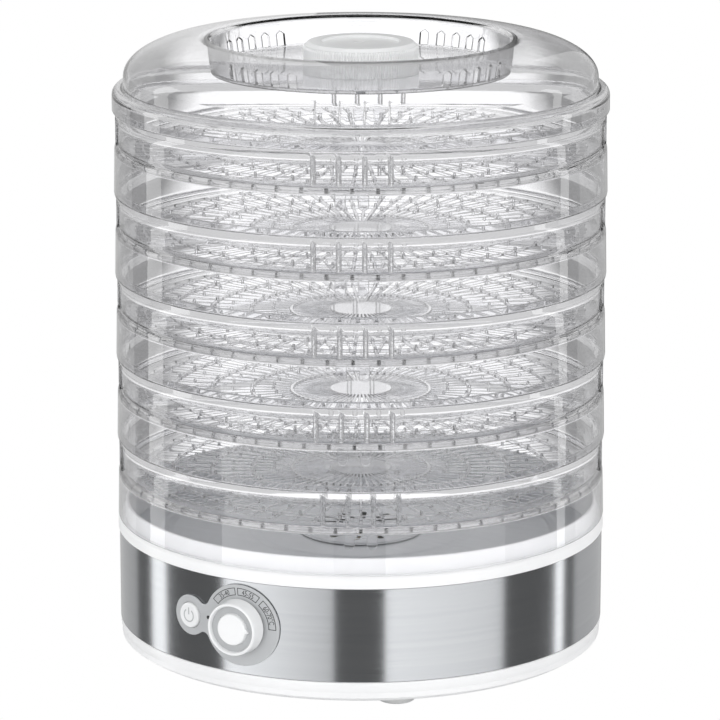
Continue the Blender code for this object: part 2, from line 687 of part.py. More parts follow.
def heater():
    """Crossed mica plates that carry the heating coil, and the thermal fuse beside it."""
    length = 2 * (DUCT_RADIUS - 0.0015)
    middle = (HEATER_TOP + HEATER_BOTTOM) / 2
    first = boxes("heater_frame", [
        ((length, MICA_THICKNESS, HEATER_HEIGHT), Matrix.Translation((0, 0, middle)))], MICA)
    second = boxes("heater_cross", [
        ((MICA_THICKNESS, length, HEATER_HEIGHT - 0.0002),
         Matrix.Translation((0, 0, middle)))])
    combine(first, second, "UNION")
    notch_width = 2 * (COIL_THICKNESS + RUNNING_GAP)
    notch_bottom = COIL_HEIGHT - COIL_THICKNESS - RUNNING_GAP
    notch_height = HEATER_TOP + 0.002 - notch_bottom
    notches = boxes("coil_notches", [
        ((notch_width, 0.004, notch_height),
         at_azimuth(90.0 * i, COIL_RADIUS, notch_bottom + notch_height / 2))
        for i in range(4)])
    combine(first, notches)
    section = arc((COIL_RADIUS, COIL_HEIGHT), (COIL_THICKNESS, COIL_THICKNESS),
                  90, -270, 6)[:-1]
    turned("heating_coil", section, COPPER, 24)
    lying = facing_out(30.0, DUCT_RADIUS - FUSE_RADIUS - 0.0020, HEATER_BOTTOM - 0.0040)
    lying = lying @ Matrix.Rotation(math.pi / 2, 4, "Y")
    return cylinders("thermal_fuse", [(FUSE_RADIUS, FUSE_LENGTH, lying)], WHITE, 12)


# ---------------------------------------------------------------------------
# Control panel
# ---------------------------------------------------------------------------


def keyhole_outline():
    """Two circles joined by concave fillets, with the panel's middle at its origin."""
    knob_x = KNOB_OFFSET
    button_x = BUTTON_OFFSET
    span = knob_x - button_x
    to_knob = BEZEL_KNOB_RADIUS + BEZEL_NECK_RADIUS
    to_button = BEZEL_BUTTON_RADIUS + BEZEL_NECK_RADIUS
    across = (to_knob ** 2 - to_button ** 2 + span ** 2) / (2 * span)
    rise = math.sqrt(to_knob ** 2 - across ** 2)
    knob_angle = math.degrees(math.atan2(rise, across))
    button_angle = math.degrees(math.atan2(rise, span - across))
    neck_x = knob_x - across

    def round_arc(x, y, radius, start, end, steps):
        return arc((x, y), (radius, radius), start, end, steps)

    points = round_arc(knob_x, 0.0, BEZEL_KNOB_RADIUS, knob_angle - 180, 180 - knob_angle, 20)
    points += round_arc(neck_x, rise, BEZEL_NECK_RADIUS, -knob_angle,
                        button_angle - 180, 4)[1:]
    points += round_arc(button_x, 0.0, BEZEL_BUTTON_RADIUS, button_angle,
                        360 - button_angle, 12)[1:]
    points += round_arc(neck_x, -rise, BEZEL_NECK_RADIUS, 180 - button_angle,
                        knob_angle, 4)[1:-1]
    return points


def control_panel(openings):
    """Bezel on the band, thermostat knob and its shaft, and the power button."""
    margin = 0.004
    low = PANEL_HEIGHT - BEZEL_KNOB_RADIUS - margin
    high = PANEL_HEIGHT + BEZEL_KNOB_RADIUS + margin
    bezel = turned("control_bezel", [
        (BEZEL_BACK, high),
        (BEZEL_FRONT, high),
        (BEZEL_FRONT, low),
        (BEZEL_BACK, low),
    ], SILVER_GREY)
    keyhole = outline_prism("keyhole", keyhole_outline(), 0.060,
                            facing_out(0.0, BAND_RADIUS, PANEL_HEIGHT))
    combine(bezel, keyhole, "INTERSECT")
    combine(bezel, openings)

    base = BEZEL_FRONT - BAND_RADIUS + 0.0008
    front = base + KNOB_LENGTH
    recess = front - KNOB_RECESS
    bore = KNOB_SHAFT_RADIUS + RUNNING_GAP
    roof = recess - KNOB_WALL
    knob = turned("thermostat_knob", [
        (0.0, front - 0.0008),
        (KNOB_DISC_RADIUS - 0.0006, front - 0.0008),
        (KNOB_DISC_RADIUS, front - 0.0014),
        (KNOB_DISC_RADIUS, recess),
        (KNOB_FRONT_RADIUS - 0.0022, recess),
        (KNOB_FRONT_RADIUS - 0.0014, front - 0.0002),
        (KNOB_FRONT_RADIUS - 0.0006, front),
        (KNOB_FRONT_RADIUS, front - 0.0006),
        (KNOB_BASE_RADIUS, base),
        (KNOB_BASE_RADIUS - KNOB_WALL, base),
        (KNOB_FRONT_RADIUS - KNOB_WALL - 0.0002, roof),
        (bore + 0.0020, roof),
        (bore + 0.0020, base + 0.0010),
        (bore, base + 0.0010),
        (bore, roof - 0.0010),
        (0.0, roof - 0.0010),
    ], WHITE, 24, facing_out(KNOB_AZIMUTH, BAND_RADIUS, PANEL_HEIGHT))
    pointer = boxes("knob_pointer", [
        ((0.0030, 0.0022, KNOB_RECESS), Matrix.Translation(
            (KNOB_DISC_RADIUS + 0.0006, 0.0, front - 0.0016 - KNOB_RECESS / 2)))],
        matrix=knob.matrix_world.copy())
    combine(knob, pointer, "UNION")
    shaft_front = roof - 0.0010 - TOUCH_GAP
    shaft_back = -0.0125
    turned("thermostat_shaft", [
        (0.0, shaft_front),
        (KNOB_SHAFT_RADIUS, shaft_front),
        (KNOB_SHAFT_RADIUS, shaft_back),
        (0.0, shaft_back),
    ], STEEL, SMALL_STEPS, facing_out(KNOB_AZIMUTH, BAND_RADIUS, PANEL_HEIGHT))

    face = BEZEL_FRONT - BAND_RADIUS + BUTTON_HEIGHT
    flange_top = SHELL_INNER * math.cos(math.pi / RING_STEPS) - BAND_RADIUS - 0.0006
    flange_bottom = flange_top - BUTTON_FLANGE
    turned("power_button", [
        (0.0, face),
        (BUTTON_RADIUS - 0.0008, face),
        (BUTTON_RADIUS, face - 0.0008),
        (BUTTON_RADIUS, flange_top),
        (BUTTON_RADIUS + 0.0016, flange_top),
        (BUTTON_RADIUS + 0.0016, flange_bottom),
        (0.0, flange_bottom),
    ], WHITE, 24, facing_out(BUTTON_AZIMUTH, BAND_RADIUS, PANEL_HEIGHT))

    width, height, depth = THERMOSTAT_SIZE
    front_face = BAND_RADIUS - 0.0080
    thermostat = boxes("thermostat", [((width, height, depth), Matrix.Identity(4))], DARK,
                       facing_out(KNOB_AZIMUTH, front_face - depth / 2, PANEL_HEIGHT))
    shaft_depth = BAND_RADIUS + shaft_back - TOUCH_GAP
    combine(thermostat, cylinders("thermostat_bore", [
        (bore, 0.010, facing_out(KNOB_AZIMUTH, shaft_depth + 0.005, PANEL_HEIGHT))]))

    width, height, depth = SWITCH_SIZE
    switch_face = BAND_RADIUS + flange_bottom - BUTTON_TRAVEL - 0.0005
    boxes("power_switch", [((width, height, depth), Matrix.Identity(4))], DARK,
          facing_out(BUTTON_AZIMUTH, switch_face - depth / 2, PANEL_HEIGHT))


def mains_entry():
    """Cord gland through the back wall, and the terminal block on the pan's floor."""
    front = BAND_RADIUS + 0.0004
    wall_back = SHELL_INNER * math.cos(math.pi / RING_STEPS) - 0.0005
    place = facing_out(180.0, 0.0, GLAND_HEIGHT)
    turned("cord_gland", [
        (GLAND_BORE, front + GLAND_LENGTH),
        (GLAND_BORE + 0.0016, front + GLAND_LENGTH),
        (GLAND_RADIUS, front + GLAND_LIP),
        (GLAND_COLLAR, front + GLAND_LIP),
        (GLAND_COLLAR, front),
        (GLAND_RADIUS, front),
        (GLAND_RADIUS, wall_back),
        (GLAND_RADIUS + 0.0020, wall_back),
        (GLAND_RADIUS + 0.0010, wall_back - 0.0040),
        (GLAND_BORE, wall_back - 0.0040),
    ], BLACK_RUBBER, SMALL_STEPS, place)
    middle = PAN_FLOOR + TOUCH_GAP + TERMINAL_SIZE[2] / 2
    boxes("terminal_block", [(TERMINAL_SIZE, Matrix.Identity(4))], WHITE,
          Matrix.Translation((0.0, FOOT_CIRCLE - TERMINAL_INSET, middle)))


def wiring():
    """Leads between the terminal block, switch, thermostat, motor and heater."""
    low = PAN_FLOOR + WIRE_CLEARANCE
    block_y = FOOT_CIRCLE - TERMINAL_INSET - TERMINAL_SIZE[1] / 2 - 0.0015
    block_z = PAN_FLOOR + 0.0070
    side = DUCT_RADIUS + 0.0220
    switch = facing_out(BUTTON_AZIMUTH, BAND_RADIUS - 0.0420, PANEL_HEIGHT)
    dial = facing_out(KNOB_AZIMUTH, BAND_RADIUS - 0.0340, PANEL_HEIGHT)
    tube("wire_supply", [
        (-0.010, block_y, block_z),
        (-0.030, block_y - 0.012, low),
        (-side, 0.030, low),
        (-side, -0.030, low),
        (-0.050, -side, low),
        switch @ Vector((-0.004, -0.012, -0.008)),
        switch @ Vector((-0.004, 0.0, 0.0)),
    ], WIRE_RADIUS, DARK)
    tube("wire_control", [
        switch @ Vector((0.005, 0.0, 0.0)),
        switch @ Vector((0.007, -0.004, -0.008)),
        dial @ Vector((-0.012, -0.006, -0.014)),
        dial @ Vector((-0.006, -0.002, -0.007)),
        dial @ Vector((-0.006, 0.0, -0.0012)),
    ], WIRE_RADIUS, DARK)
    rise = DUCT_RADIUS - 0.0035
    tube("wire_heater", [
        dial @ Vector((0.006, 0.0, -0.0012)),
        dial @ Vector((0.008, -0.006, -0.009)),
        dial @ Vector((0.004, -0.030, -0.018)),
        (0.012, -DUCT_RADIUS - 0.010, low),
        (0.010, -DUCT_RADIUS + 0.004, low + 0.0040),
        (0.009, -rise, BRACKET_HEIGHT + 0.0140),
        (0.009, -rise, FAN_BOTTOM),
        (0.009, -rise, HEATER_BOTTOM - 0.0015),
    ], WIRE_RADIUS, COPPER)
    tube("wire_motor", [
        (0.010, block_y, block_z),
        (0.014, block_y - 0.014, low),
        (0.014, DUCT_RADIUS, low),
        (0.012, MOTOR_RADIUS + 0.012, BRACKET_HEIGHT + 0.0020),
        (0.006, MOTOR_RADIUS + 0.0015, MOTOR_BOTTOM + 0.0060),
    ], WIRE_RADIUS, DARK)


# ---------------------------------------------------------------------------
# Trays, lid and vent
# ---------------------------------------------------------------------------


def tray_outline():
    """Half section of a tray, with its floor level at height 0."""
    inner = NECK_RADIUS - TRAY_WALL
    seat = TRAY_SEAT
    return [
        (0.0, 0.0),
        (inner, 0.0),
        (inner, seat - RIM_FLARE),
        (LIP_RADIUS - TRAY_WALL, seat + LIP_HEIGHT),
        (LIP_RADIUS, seat + LIP_HEIGHT),
        (LIP_RADIUS, seat),
        (SKIRT_RADIUS, seat),
        (NECK_RADIUS, seat - RIM_FLARE),
        (NECK_RADIUS, SHOULDER_HIGH),
        (SKIRT_RADIUS - 0.0006, SHOULDER_LOW),
        (SKIRT_RADIUS, -SKIRT_DROP),
        (SKIRT_RADIUS - TRAY_WALL, -SKIRT_DROP),
        (SKIRT_RADIUS - 0.0006 - TRAY_WALL, -TRAY_FLOOR),
        (0.0, -TRAY_FLOOR),
    ]


def trays():
    """Identical clear trays; tray_1 is the top one."""
    slot_outer = NECK_RADIUS - TRAY_WALL - TRAY_SLOT_MARGIN
    slot = (slot_outer - TRAY_SLOT_INNER, TRAY_SLOT_WIDTH, 4 * TRAY_FLOOR)
    middle = (slot_outer + TRAY_SLOT_INNER) / 2
    for number in range(1, TRAY_COUNT + 1):
        level = LOWEST_FLOOR + (TRAY_COUNT - number) * TRAY_PITCH
        place = Matrix.Translation((0.0, 0.0, level))
        tray = turned(f"tray_{number}", tray_outline(), CLEAR, matrix=place)
        slots = [(slot, at_azimuth(360.0 * (i + 0.5) / TRAY_SLOTS, middle))
                 for i in range(TRAY_SLOTS)]
        combine(tray, boxes(f"tray_{number}_slots", slots, matrix=place.copy()))


def lid():
    """Clear lid: flange, domed ring, and a well with side slots for the moist air."""
    flange_inner = SKIRT_RADIUS - TRAY_WALL
    dome_foot = FLANGE_TOP + DOME_STRAIGHT
    inner_run = DOME_RUN - LID_WALL
    inner_rise = DOME_RISE - LID_WALL
    rounded = (LID_RADIUS - FLANGE_ROUND, FLANGE_TOP - FLANGE_ROUND)
    well_wall = WELL_RADIUS - WELL_TAPER
    outline = [(PIVOT_RADIUS + RUNNING_GAP, WELL_FLOOR), (well_wall, WELL_FLOOR)]
    outline += [(WELL_RADIUS, LID_TOP - 0.0008), (WELL_RADIUS + 0.0010, LID_TOP)]
    outline += arc((CROWN_RADIUS, dome_foot), (DOME_RUN, DOME_RISE), 90, 0, 5)
    outline += [(DOME_RADIUS, FLANGE_TOP)]
    outline += arc(rounded, (FLANGE_ROUND, FLANGE_ROUND), 80, 0, 2)
    outline += [
        (LID_RADIUS, LID_BOTTOM),
        (flange_inner, LID_BOTTOM),
        (flange_inner, FLANGE_TOP - 0.0045),
        (DOME_RADIUS - LID_WALL, FLANGE_TOP - LID_WALL),
    ]
    outline += arc((CROWN_RADIUS, dome_foot), (inner_run, inner_rise), 0, 90, 4)
    outline += [
        (WELL_RADIUS + LID_WALL, LID_TOP - LID_WALL - 0.0006),
        (well_wall + LID_WALL, WELL_FLOOR - LID_WALL),
        (PIVOT_RADIUS + RUNNING_GAP, WELL_FLOOR - LID_WALL),
    ]
    body = turned("lid", outline, CLEAR)

    half = VENT_WIDTH / 2
    gable = [(-half, 0.0), (half, 0.0), (half, VENT_HEIGHT),
             (0.0, VENT_HEIGHT + VENT_PEAK), (-half, VENT_HEIGHT)]
    middle_slot = (VENT_SLOTS - 1) / 2
    for group in range(VENT_GROUPS):
        for slot in range(VENT_SLOTS):
            azimuth = VENT_AZIMUTH + 360.0 * group / VENT_GROUPS
            azimuth += (slot - middle_slot) * VENT_SPACING
            place = facing_out(azimuth, WELL_RADIUS, WELL_FLOOR + 0.0004)
            cutter = outline_prism(f"vent_slot_{group + 1}_{slot + 1}", gable, 0.016, place)
            combine(body, cutter)
    port = (PORT_OUTER - PORT_INNER, PORT_WIDTH, 0.012)
    ports = boxes("lid_ports", [
        (port, at_azimuth(360.0 * i / PORT_COUNT, (PORT_OUTER + PORT_INNER) / 2, WELL_FLOOR))
        for i in range(PORT_COUNT)])
    return combine(body, ports)


def rotary_vent():
    """Knurled knob in the lid's well, the shutter under it and the pivot through both."""
    bottom = WELL_FLOOR + TOUCH_GAP
    shutter_top = bottom + SHUTTER_THICKNESS
    top = bottom + VENT_KNOB_HEIGHT
    roof = top - VENT_DISH_DEPTH - VENT_KNOB_WALL
    bore = PIVOT_RADIUS + RUNNING_GAP
    knob = turned("vent_knob", [
        (0.0, top - VENT_DISH_DEPTH),
        (VENT_DISH_RADIUS - 0.0006, top - VENT_DISH_DEPTH),
        (VENT_DISH_RADIUS, top),
        (VENT_KNOB_RADIUS - 0.0016, top),
        (VENT_KNOB_RADIUS - 0.0006, top - 0.0012),
        (VENT_KNOB_RADIUS, bottom),
        (VENT_KNOB_RADIUS - VENT_KNOB_WALL, bottom),
        (VENT_KNOB_RADIUS - VENT_KNOB_WALL - 0.0004, roof),
        (bore + 0.0030, roof),
        (bore + 0.0030, shutter_top + TOUCH_GAP),
        (bore, shutter_top + TOUCH_GAP),
        (bore, roof - 0.0010),
        (0.0, roof - 0.0010),
    ], WHITE, 24)
    notch_height = 0.0030
    notches = boxes("knob_notches", [
        ((0.012, 0.020, 2 * notch_height),
         at_azimuth(360.0 * (i + 0.5) / PORT_COUNT, VENT_KNOB_RADIUS, bottom))
        for i in range(PORT_COUNT)])
    combine(knob, notches)

    shutter = turned("vent_shutter", [
        (bore, shutter_top),
        (PORT_OUTER + SHUTTER_MARGIN, shutter_top),
        (PORT_OUTER + SHUTTER_MARGIN, bottom),
        (bore, bottom),
    ], WHITE, 24)
    port = (PORT_OUTER - PORT_INNER, PORT_WIDTH, 0.012)
    ports = boxes("shutter_ports", [
        (port, at_azimuth(360.0 * i / PORT_COUNT, (PORT_OUTER + PORT_INNER) / 2, bottom))
        for i in range(PORT_COUNT)])
    combine(shutter, ports)

    underside = WELL_FLOOR - LID_WALL - TOUCH_GAP
    turned("vent_pivot", [
        (0.0, roof - 0.0010 - TOUCH_GAP),
        (PIVOT_RADIUS, roof - 0.0010 - TOUCH_GAP),
        (PIVOT_RADIUS, underside),
        (2 * PIVOT_RADIUS, underside),
        (2 * PIVOT_RADIUS, underside - 0.0016),
        (0.0, underside - 0.0016),
    ], STEEL, SMALL_STEPS)


def main():
    base_pan()
    feet()
    openings = wall_openings()
    steel_band(openings)
    upper_shell(openings)
    screws()
    deck()
    air_path()
    heater()
    control_panel(openings)
    mains_entry()
    wiring()
    trays()
    lid()
    rotary_vent()


main()
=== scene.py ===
"""Round food dehydrator, dressed for a studio still.

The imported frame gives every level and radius. The classes below build the moulded, pressed
and turned pieces around it, in metres, with +Z up and the control panel facing -Y. Azimuths
are measured from -Y towards +X.
"""

import json
import logging
import math
from dataclasses import dataclass
from enum import Enum

import bmesh
import bpy
from mathutils import Matrix, Vector

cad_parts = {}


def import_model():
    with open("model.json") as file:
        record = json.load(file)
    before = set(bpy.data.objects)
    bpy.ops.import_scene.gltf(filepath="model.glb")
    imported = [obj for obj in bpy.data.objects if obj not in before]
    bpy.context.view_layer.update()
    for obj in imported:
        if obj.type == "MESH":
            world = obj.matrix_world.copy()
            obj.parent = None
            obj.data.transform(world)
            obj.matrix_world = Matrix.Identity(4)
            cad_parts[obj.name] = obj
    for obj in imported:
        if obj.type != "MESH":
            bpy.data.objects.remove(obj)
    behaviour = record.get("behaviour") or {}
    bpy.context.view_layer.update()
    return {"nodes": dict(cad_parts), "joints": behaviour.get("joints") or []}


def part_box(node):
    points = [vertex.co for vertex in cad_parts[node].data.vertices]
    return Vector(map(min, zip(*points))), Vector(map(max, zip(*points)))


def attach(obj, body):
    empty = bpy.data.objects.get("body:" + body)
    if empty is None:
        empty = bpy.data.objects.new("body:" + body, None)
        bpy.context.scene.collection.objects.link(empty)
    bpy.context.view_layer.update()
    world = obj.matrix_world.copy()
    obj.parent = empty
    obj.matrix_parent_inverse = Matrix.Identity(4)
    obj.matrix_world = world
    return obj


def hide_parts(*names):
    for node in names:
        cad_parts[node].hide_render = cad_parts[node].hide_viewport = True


LOG = logging.getLogger("dehydrator")

Corner = tuple[float, float, float]
"""One corner of an outline to be turned: radius, height and rounding."""

TOUCH_GAP = 0.0003
"""Clearance between neighbouring pieces."""
FINE_STEPS = 192
"""Facets round a large turned piece."""
SMALL_STEPS = 64
"""Facets round a small turned piece."""
BORE_STEPS = 24
"""Facets round a drilled hole."""
SHARP_ANGLE = math.radians(38.0)
"""Edges sharper than this are shaded as creases."""
SAME_POINT = 1e-7
"""Points or levels nearer than this count as one."""
SHAFT_BORE = 0.0033
"""Radius of the holes for the dial's shaft and the vent's pivot."""
CUT_THROUGH = 0.012
"""Length of a cutter that goes through any wall."""


# ---------------------------------------------------------------------------
# Named options
# ---------------------------------------------------------------------------


class Slot(Enum):
    """The record's material slots, one noted with each finish."""

    CLEAR = "clear_plastic"
    MILKY = "frosted_plastic"
    WHITE = "white_plastic"
    SILVER = "silver_plastic"
    BAND = "brushed_steel"
    DECK = "satin_steel"
    PLATED = "plated_steel"
    BLACK_RUBBER = "black_rubber"
    WHITE_RUBBER = "white_rubber"
    BLACK = "black_plastic"
    MICA = "mica"
    COIL = "heating_wire"
    LEAD = "wire_insulation"
    SLEEVE = "glass_sleeve"


class Operation(Enum):
    """What a tool does to the body that it meets."""

    WELD = "UNION"
    CUT = "DIFFERENCE"


class Grain(Enum):
    """Which way a metal sheet was brushed: the pattern's share of its frequency on each axis."""

    ROUND_THE_AXIS = (0.006, 0.006, 1.0)
    ALONG_X = (0.02, 1.0, 1.0)


# ---------------------------------------------------------------------------
# Finishes
# ---------------------------------------------------------------------------


def linear(code: str) -> tuple[float, float, float, float]:
    """Turn an sRGB hex value into a linear colour.

    Args:
        code: Six hex digits, red first.

    Returns:
        Red, green, blue and an alpha of 1.
    """
    channels = [int(code[start:start + 2], 16) / 255 for start in (0, 2, 4)]
    curve = [c / 12.92 if c <= 0.04045 else ((c + 0.055) / 1.055) ** 2.4 for c in channels]
    return (*curve, 1.0)


def add_node(tree: bpy.types.NodeTree, kind: str, settings: dict | None = None,
             inputs: dict | None = None) -> bpy.types.Node:
    """Add a shader node with its settings, values and links.

    Args:
        tree: The material's node tree.
        kind: The node's type, without "ShaderNode".
        settings: Properties of the node itself.
        inputs: A value, or a socket to link from, for each input by name or number.

    Returns:
        The new node.
    """
    node = tree.nodes.new("ShaderNode" + kind)
    for name, value in (settings or {}).items():
        setattr(node, name, value)
    for name, value in (inputs or {}).items():
        if isinstance(value, bpy.types.NodeSocket):
            tree.links.new(value, node.inputs[name])
        else:
            node.inputs[name].default_value = value
    return node


@dataclass(frozen=True)
class Finish:
    """What a piece is made of, and how its surface was made."""

    name: str
    slot: Slot
    colour: str
    shade: str

    def material(self) -> bpy.types.Material:
        """Give the material, which is made the first time that it is asked for.

        Returns:
            The material of this finish.
        """
        made = bpy.data.materials.get(self.name)
        if made:
            return made
        made = bpy.data.materials.new(self.name)
        made.use_nodes = True
        made.node_tree.nodes.clear()
        surface = self.surface(made.node_tree)
        add_node(made.node_tree, "OutputMaterial", inputs={"Surface": surface.outputs["BSDF"]})
        return made

    def surface(self, tree: bpy.types.NodeTree) -> bpy.types.Node:
        """Build the shader; each kind of finish has its own."""
        raise NotImplementedError

    def noise(self, tree: bpy.types.NodeTree, size: float, detail: float = 2.0,
              stretch: tuple[float, float, float] = (1.0, 1.0, 1.0)) -> bpy.types.NodeSocket:
        """Add a noise whose features have a real size.

        Args:
            tree: The material's node tree.
            size: Feature size in metres.
            detail: Octaves of finer noise.
            stretch: Share of the pattern's frequency along each axis.

        Returns:
            The noise's factor.
        """
        place = add_node(tree, "TexCoord").outputs["Object"]
        mapping = add_node(tree, "Mapping", inputs={
            "Vector": place, "Scale": tuple(share / size for share in stretch)})
        return add_node(tree, "TexNoise", inputs={
            "Vector": mapping.outputs["Vector"], "Scale": 1.0, "Detail": detail}).outputs[0]

    def crystals(self, tree: bpy.types.NodeTree, size: float) -> bpy.types.NodeSocket:
        """Random tone for each cell of a pattern whose cells have a real size in metres."""
        place = add_node(tree, "TexCoord").outputs["Object"]
        cells = add_node(tree, "TexVoronoi", inputs={
            "Vector": place, "Scale": 1 / size}).outputs["Color"]
        return add_node(tree, "RGBToBW", inputs={"Color": cells}).outputs["Val"]

    def blend(self, tree: bpy.types.NodeTree, factor: bpy.types.NodeSocket,
              first: str, second: str) -> bpy.types.NodeSocket:
        """Mix two hex colours by a factor and return the colour socket."""
        return add_node(tree, "Mix", {"data_type": "RGBA"}, {
            0: factor, 6: linear(first), 7: linear(second)}).outputs[2]

    def between(self, tree: bpy.types.NodeTree, factor: bpy.types.NodeSocket,
                low: float, high: float) -> bpy.types.NodeSocket:
        """Map a noise factor to a range and return the value socket."""
        return add_node(tree, "MapRange", inputs={
            "Value": factor, "From Min": 0.3, "From Max": 0.7,
            "To Min": low, "To Max": high}).outputs["Result"]


@dataclass(frozen=True)
class MouldedPlastic(Finish):
    """Injection-moulded ABS with a fine spark-eroded texture: soft, broad highlights."""

    roughness: tuple[float, float] = (0.28, 0.36)
    # Spark-eroded grain is about 0.1 mm; it is drawn at 0.5 mm so that it shows.
    grain: float = 0.0005
    relief: float = 0.00002
    # Width of the faint clouds where the melt flowed.
    cloud: float = 0.030
    ior: float = 1.54

    def surface(self, tree: bpy.types.NodeTree) -> bpy.types.Node:
        """Cloudy colour and gloss over a fine even grain."""
        cloud = self.noise(tree, self.cloud)
        bump = add_node(tree, "Bump", inputs={
            "Strength": 0.35, "Distance": self.relief, "Height": self.noise(tree, self.grain)})
        return add_node(tree, "BsdfPrincipled", inputs={
            "Base Color": self.blend(tree, cloud, self.shade, self.colour),
            "Roughness": self.between(tree, cloud, *self.roughness),
            "IOR": self.ior, "Normal": bump.outputs["Normal"]})


@dataclass(frozen=True)
class ClearMoulding(Finish):
    """Crystal polystyrene from a polished mould: glass-clear, with slight flow ripples."""

    roughness: tuple[float, float] = (0.010, 0.030)
    # Flow ripples about 18 mm apart.
    ripple: float = 0.018
    relief: float = 0.00010
    ior: float = 1.58
    transmission: float = 1.0

    def surface(self, tree: bpy.types.NodeTree) -> bpy.types.Node:
        """Transmissive plastic whose surface waves a little where the melt cooled."""
        flow = self.noise(tree, self.ripple, 1.0)
        bump = add_node(tree, "Bump", inputs={
            "Strength": 0.30, "Distance": self.relief, "Height": flow})
        return add_node(tree, "BsdfPrincipled", inputs={
            "Base Color": self.blend(tree, flow, self.shade, self.colour),
            "Roughness": self.between(tree, flow, *self.roughness),
            "IOR": self.ior, "Transmission Weight": self.transmission,
            "Normal": bump.outputs["Normal"]})


@dataclass(frozen=True)
class BrushedSteel(Finish):
    """Stainless sheet brushed with an abrasive belt: fine lines, highlights drawn across them."""

    grain: Grain = Grain.ROUND_THE_AXIS
    # Belt scratches are about 0.05 mm apart; they are drawn at 0.45 mm so that they show.
    line: float = 0.00045
    roughness: tuple[float, float] = (0.17, 0.23)
    anisotropy: float = 0.90
    turn: float = 0.25
    # Broad streaks are this many scratches wide.
    streak: float = 8.0

    def surface(self, tree: bpy.types.NodeTree) -> bpy.types.Node:
        """Metal with long scratches in colour, gloss and relief."""
        lines = self.noise(tree, self.line, 3.0, self.grain.value)
        broad = self.noise(tree, self.streak * self.line, 2.0, self.grain.value)
        bump = add_node(tree, "Bump", inputs={
            "Strength": 0.10, "Distance": 0.000004, "Height": lines})
        return add_node(tree, "BsdfPrincipled", inputs={
            "Base Color": self.blend(tree, broad, self.shade, self.colour),
            "Metallic": 1.0, "Roughness": self.between(tree, lines, *self.roughness),
            "Anisotropic": self.anisotropy, "Anisotropic Rotation": self.turn,
            "Normal": bump.outputs["Normal"]})


@dataclass(frozen=True)
class PlatedSteel(Finish):
    """Zinc-plated sheet: dull bluish metal with a faint spangle."""

    # Zinc crystals of about 4 mm.
    spangle: float = 0.004

    def surface(self, tree: bpy.types.NodeTree) -> bpy.types.Node:
        """Crystals of slightly different tone and gloss."""
        factor = self.crystals(tree, self.spangle)
        return add_node(tree, "BsdfPrincipled", inputs={
            "Base Color": self.blend(tree, factor, self.shade, self.colour),
            "Metallic": 1.0, "Roughness": self.between(tree, factor, 0.34, 0.50)})


@dataclass(frozen=True)
class SoftRubber(Finish):
    """Moulded rubber: matt, with a faint bloom and pores."""

    # Clouds of bloom about 6 mm wide, and pores drawn at 0.6 mm so that they show.
    bloom: float = 0.006
    pore: float = 0.0006

    def surface(self, tree: bpy.types.NodeTree) -> bpy.types.Node:
        """Matt skin with fine pores and a cloudy bloom."""
        bloom = self.noise(tree, self.bloom)
        bump = add_node(tree, "Bump", inputs={
            "Strength": 0.4, "Distance": 0.00005, "Height": self.noise(tree, self.pore)})
        return add_node(tree, "BsdfPrincipled", inputs={
            "Base Color": self.blend(tree, bloom, self.shade, self.colour),
            "Roughness": self.between(tree, bloom, 0.55, 0.75), "IOR": 1.52,
            "Normal": bump.outputs["Normal"]})


@dataclass(frozen=True)
class MicaSheet(Finish):
    """Pressed mica: golden flakes with a silky sheen."""

    # Flakes of about 3 mm.
    flake: float = 0.003

    def surface(self, tree: bpy.types.NodeTree) -> bpy.types.Node:
        """Flakes of differing tone in a glossy binder."""
        factor = self.crystals(tree, self.flake)
        return add_node(tree, "BsdfPrincipled", inputs={
            "Base Color": self.blend(tree, factor, self.shade, self.colour),
            "Roughness": self.between(tree, factor, 0.30, 0.50), "IOR": 1.58})


@dataclass(frozen=True)
class OxidisedWire(Finish):
    """Nickel-chrome resistance wire: dark oxide with lighter patches."""

    # Patches of oxide about 3 mm long.
    patch: float = 0.003

    def surface(self, tree: bpy.types.NodeTree) -> bpy.types.Node:
        """Patchy oxide over metal."""
        patches = self.noise(tree, self.patch, 3.0)
        return add_node(tree, "BsdfPrincipled", inputs={
            "Base Color": self.blend(tree, patches, self.shade, self.colour),
            "Metallic": 1.0, "Roughness": self.between(tree, patches, 0.35, 0.60)})


@dataclass(frozen=True)
class BraidedSleeve(Finish):
    """Woven glass-fibre sleeving: pale crossed strands."""

    # Strands about 0.6 mm wide; Blender's wave repeats every 1 / 20 of a unit of scale.
    strand: float = 0.0006

    def surface(self, tree: bpy.types.NodeTree) -> bpy.types.Node:
        """Two crossed bands of strands, in tone and relief."""
        place = add_node(tree, "TexCoord").outputs["Object"]
        bands = [add_node(tree, "TexWave", {"bands_direction": direction}, {
            "Vector": place, "Scale": 1 / (20 * self.strand)}).outputs[0]
            for direction in ("DIAGONAL", "Z")]
        weave = add_node(tree, "Math", {"operation": "MAXIMUM"}, {0: bands[0], 1: bands[1]})
        bump = add_node(tree, "Bump", inputs={
            "Strength": 0.5, "Distance": 0.0001, "Height": weave.outputs[0]})
        return add_node(tree, "BsdfPrincipled", inputs={
            "Base Color": self.blend(tree, weave.outputs[0], self.shade, self.colour),
            "Roughness": 0.8, "Normal": bump.outputs["Normal"]})


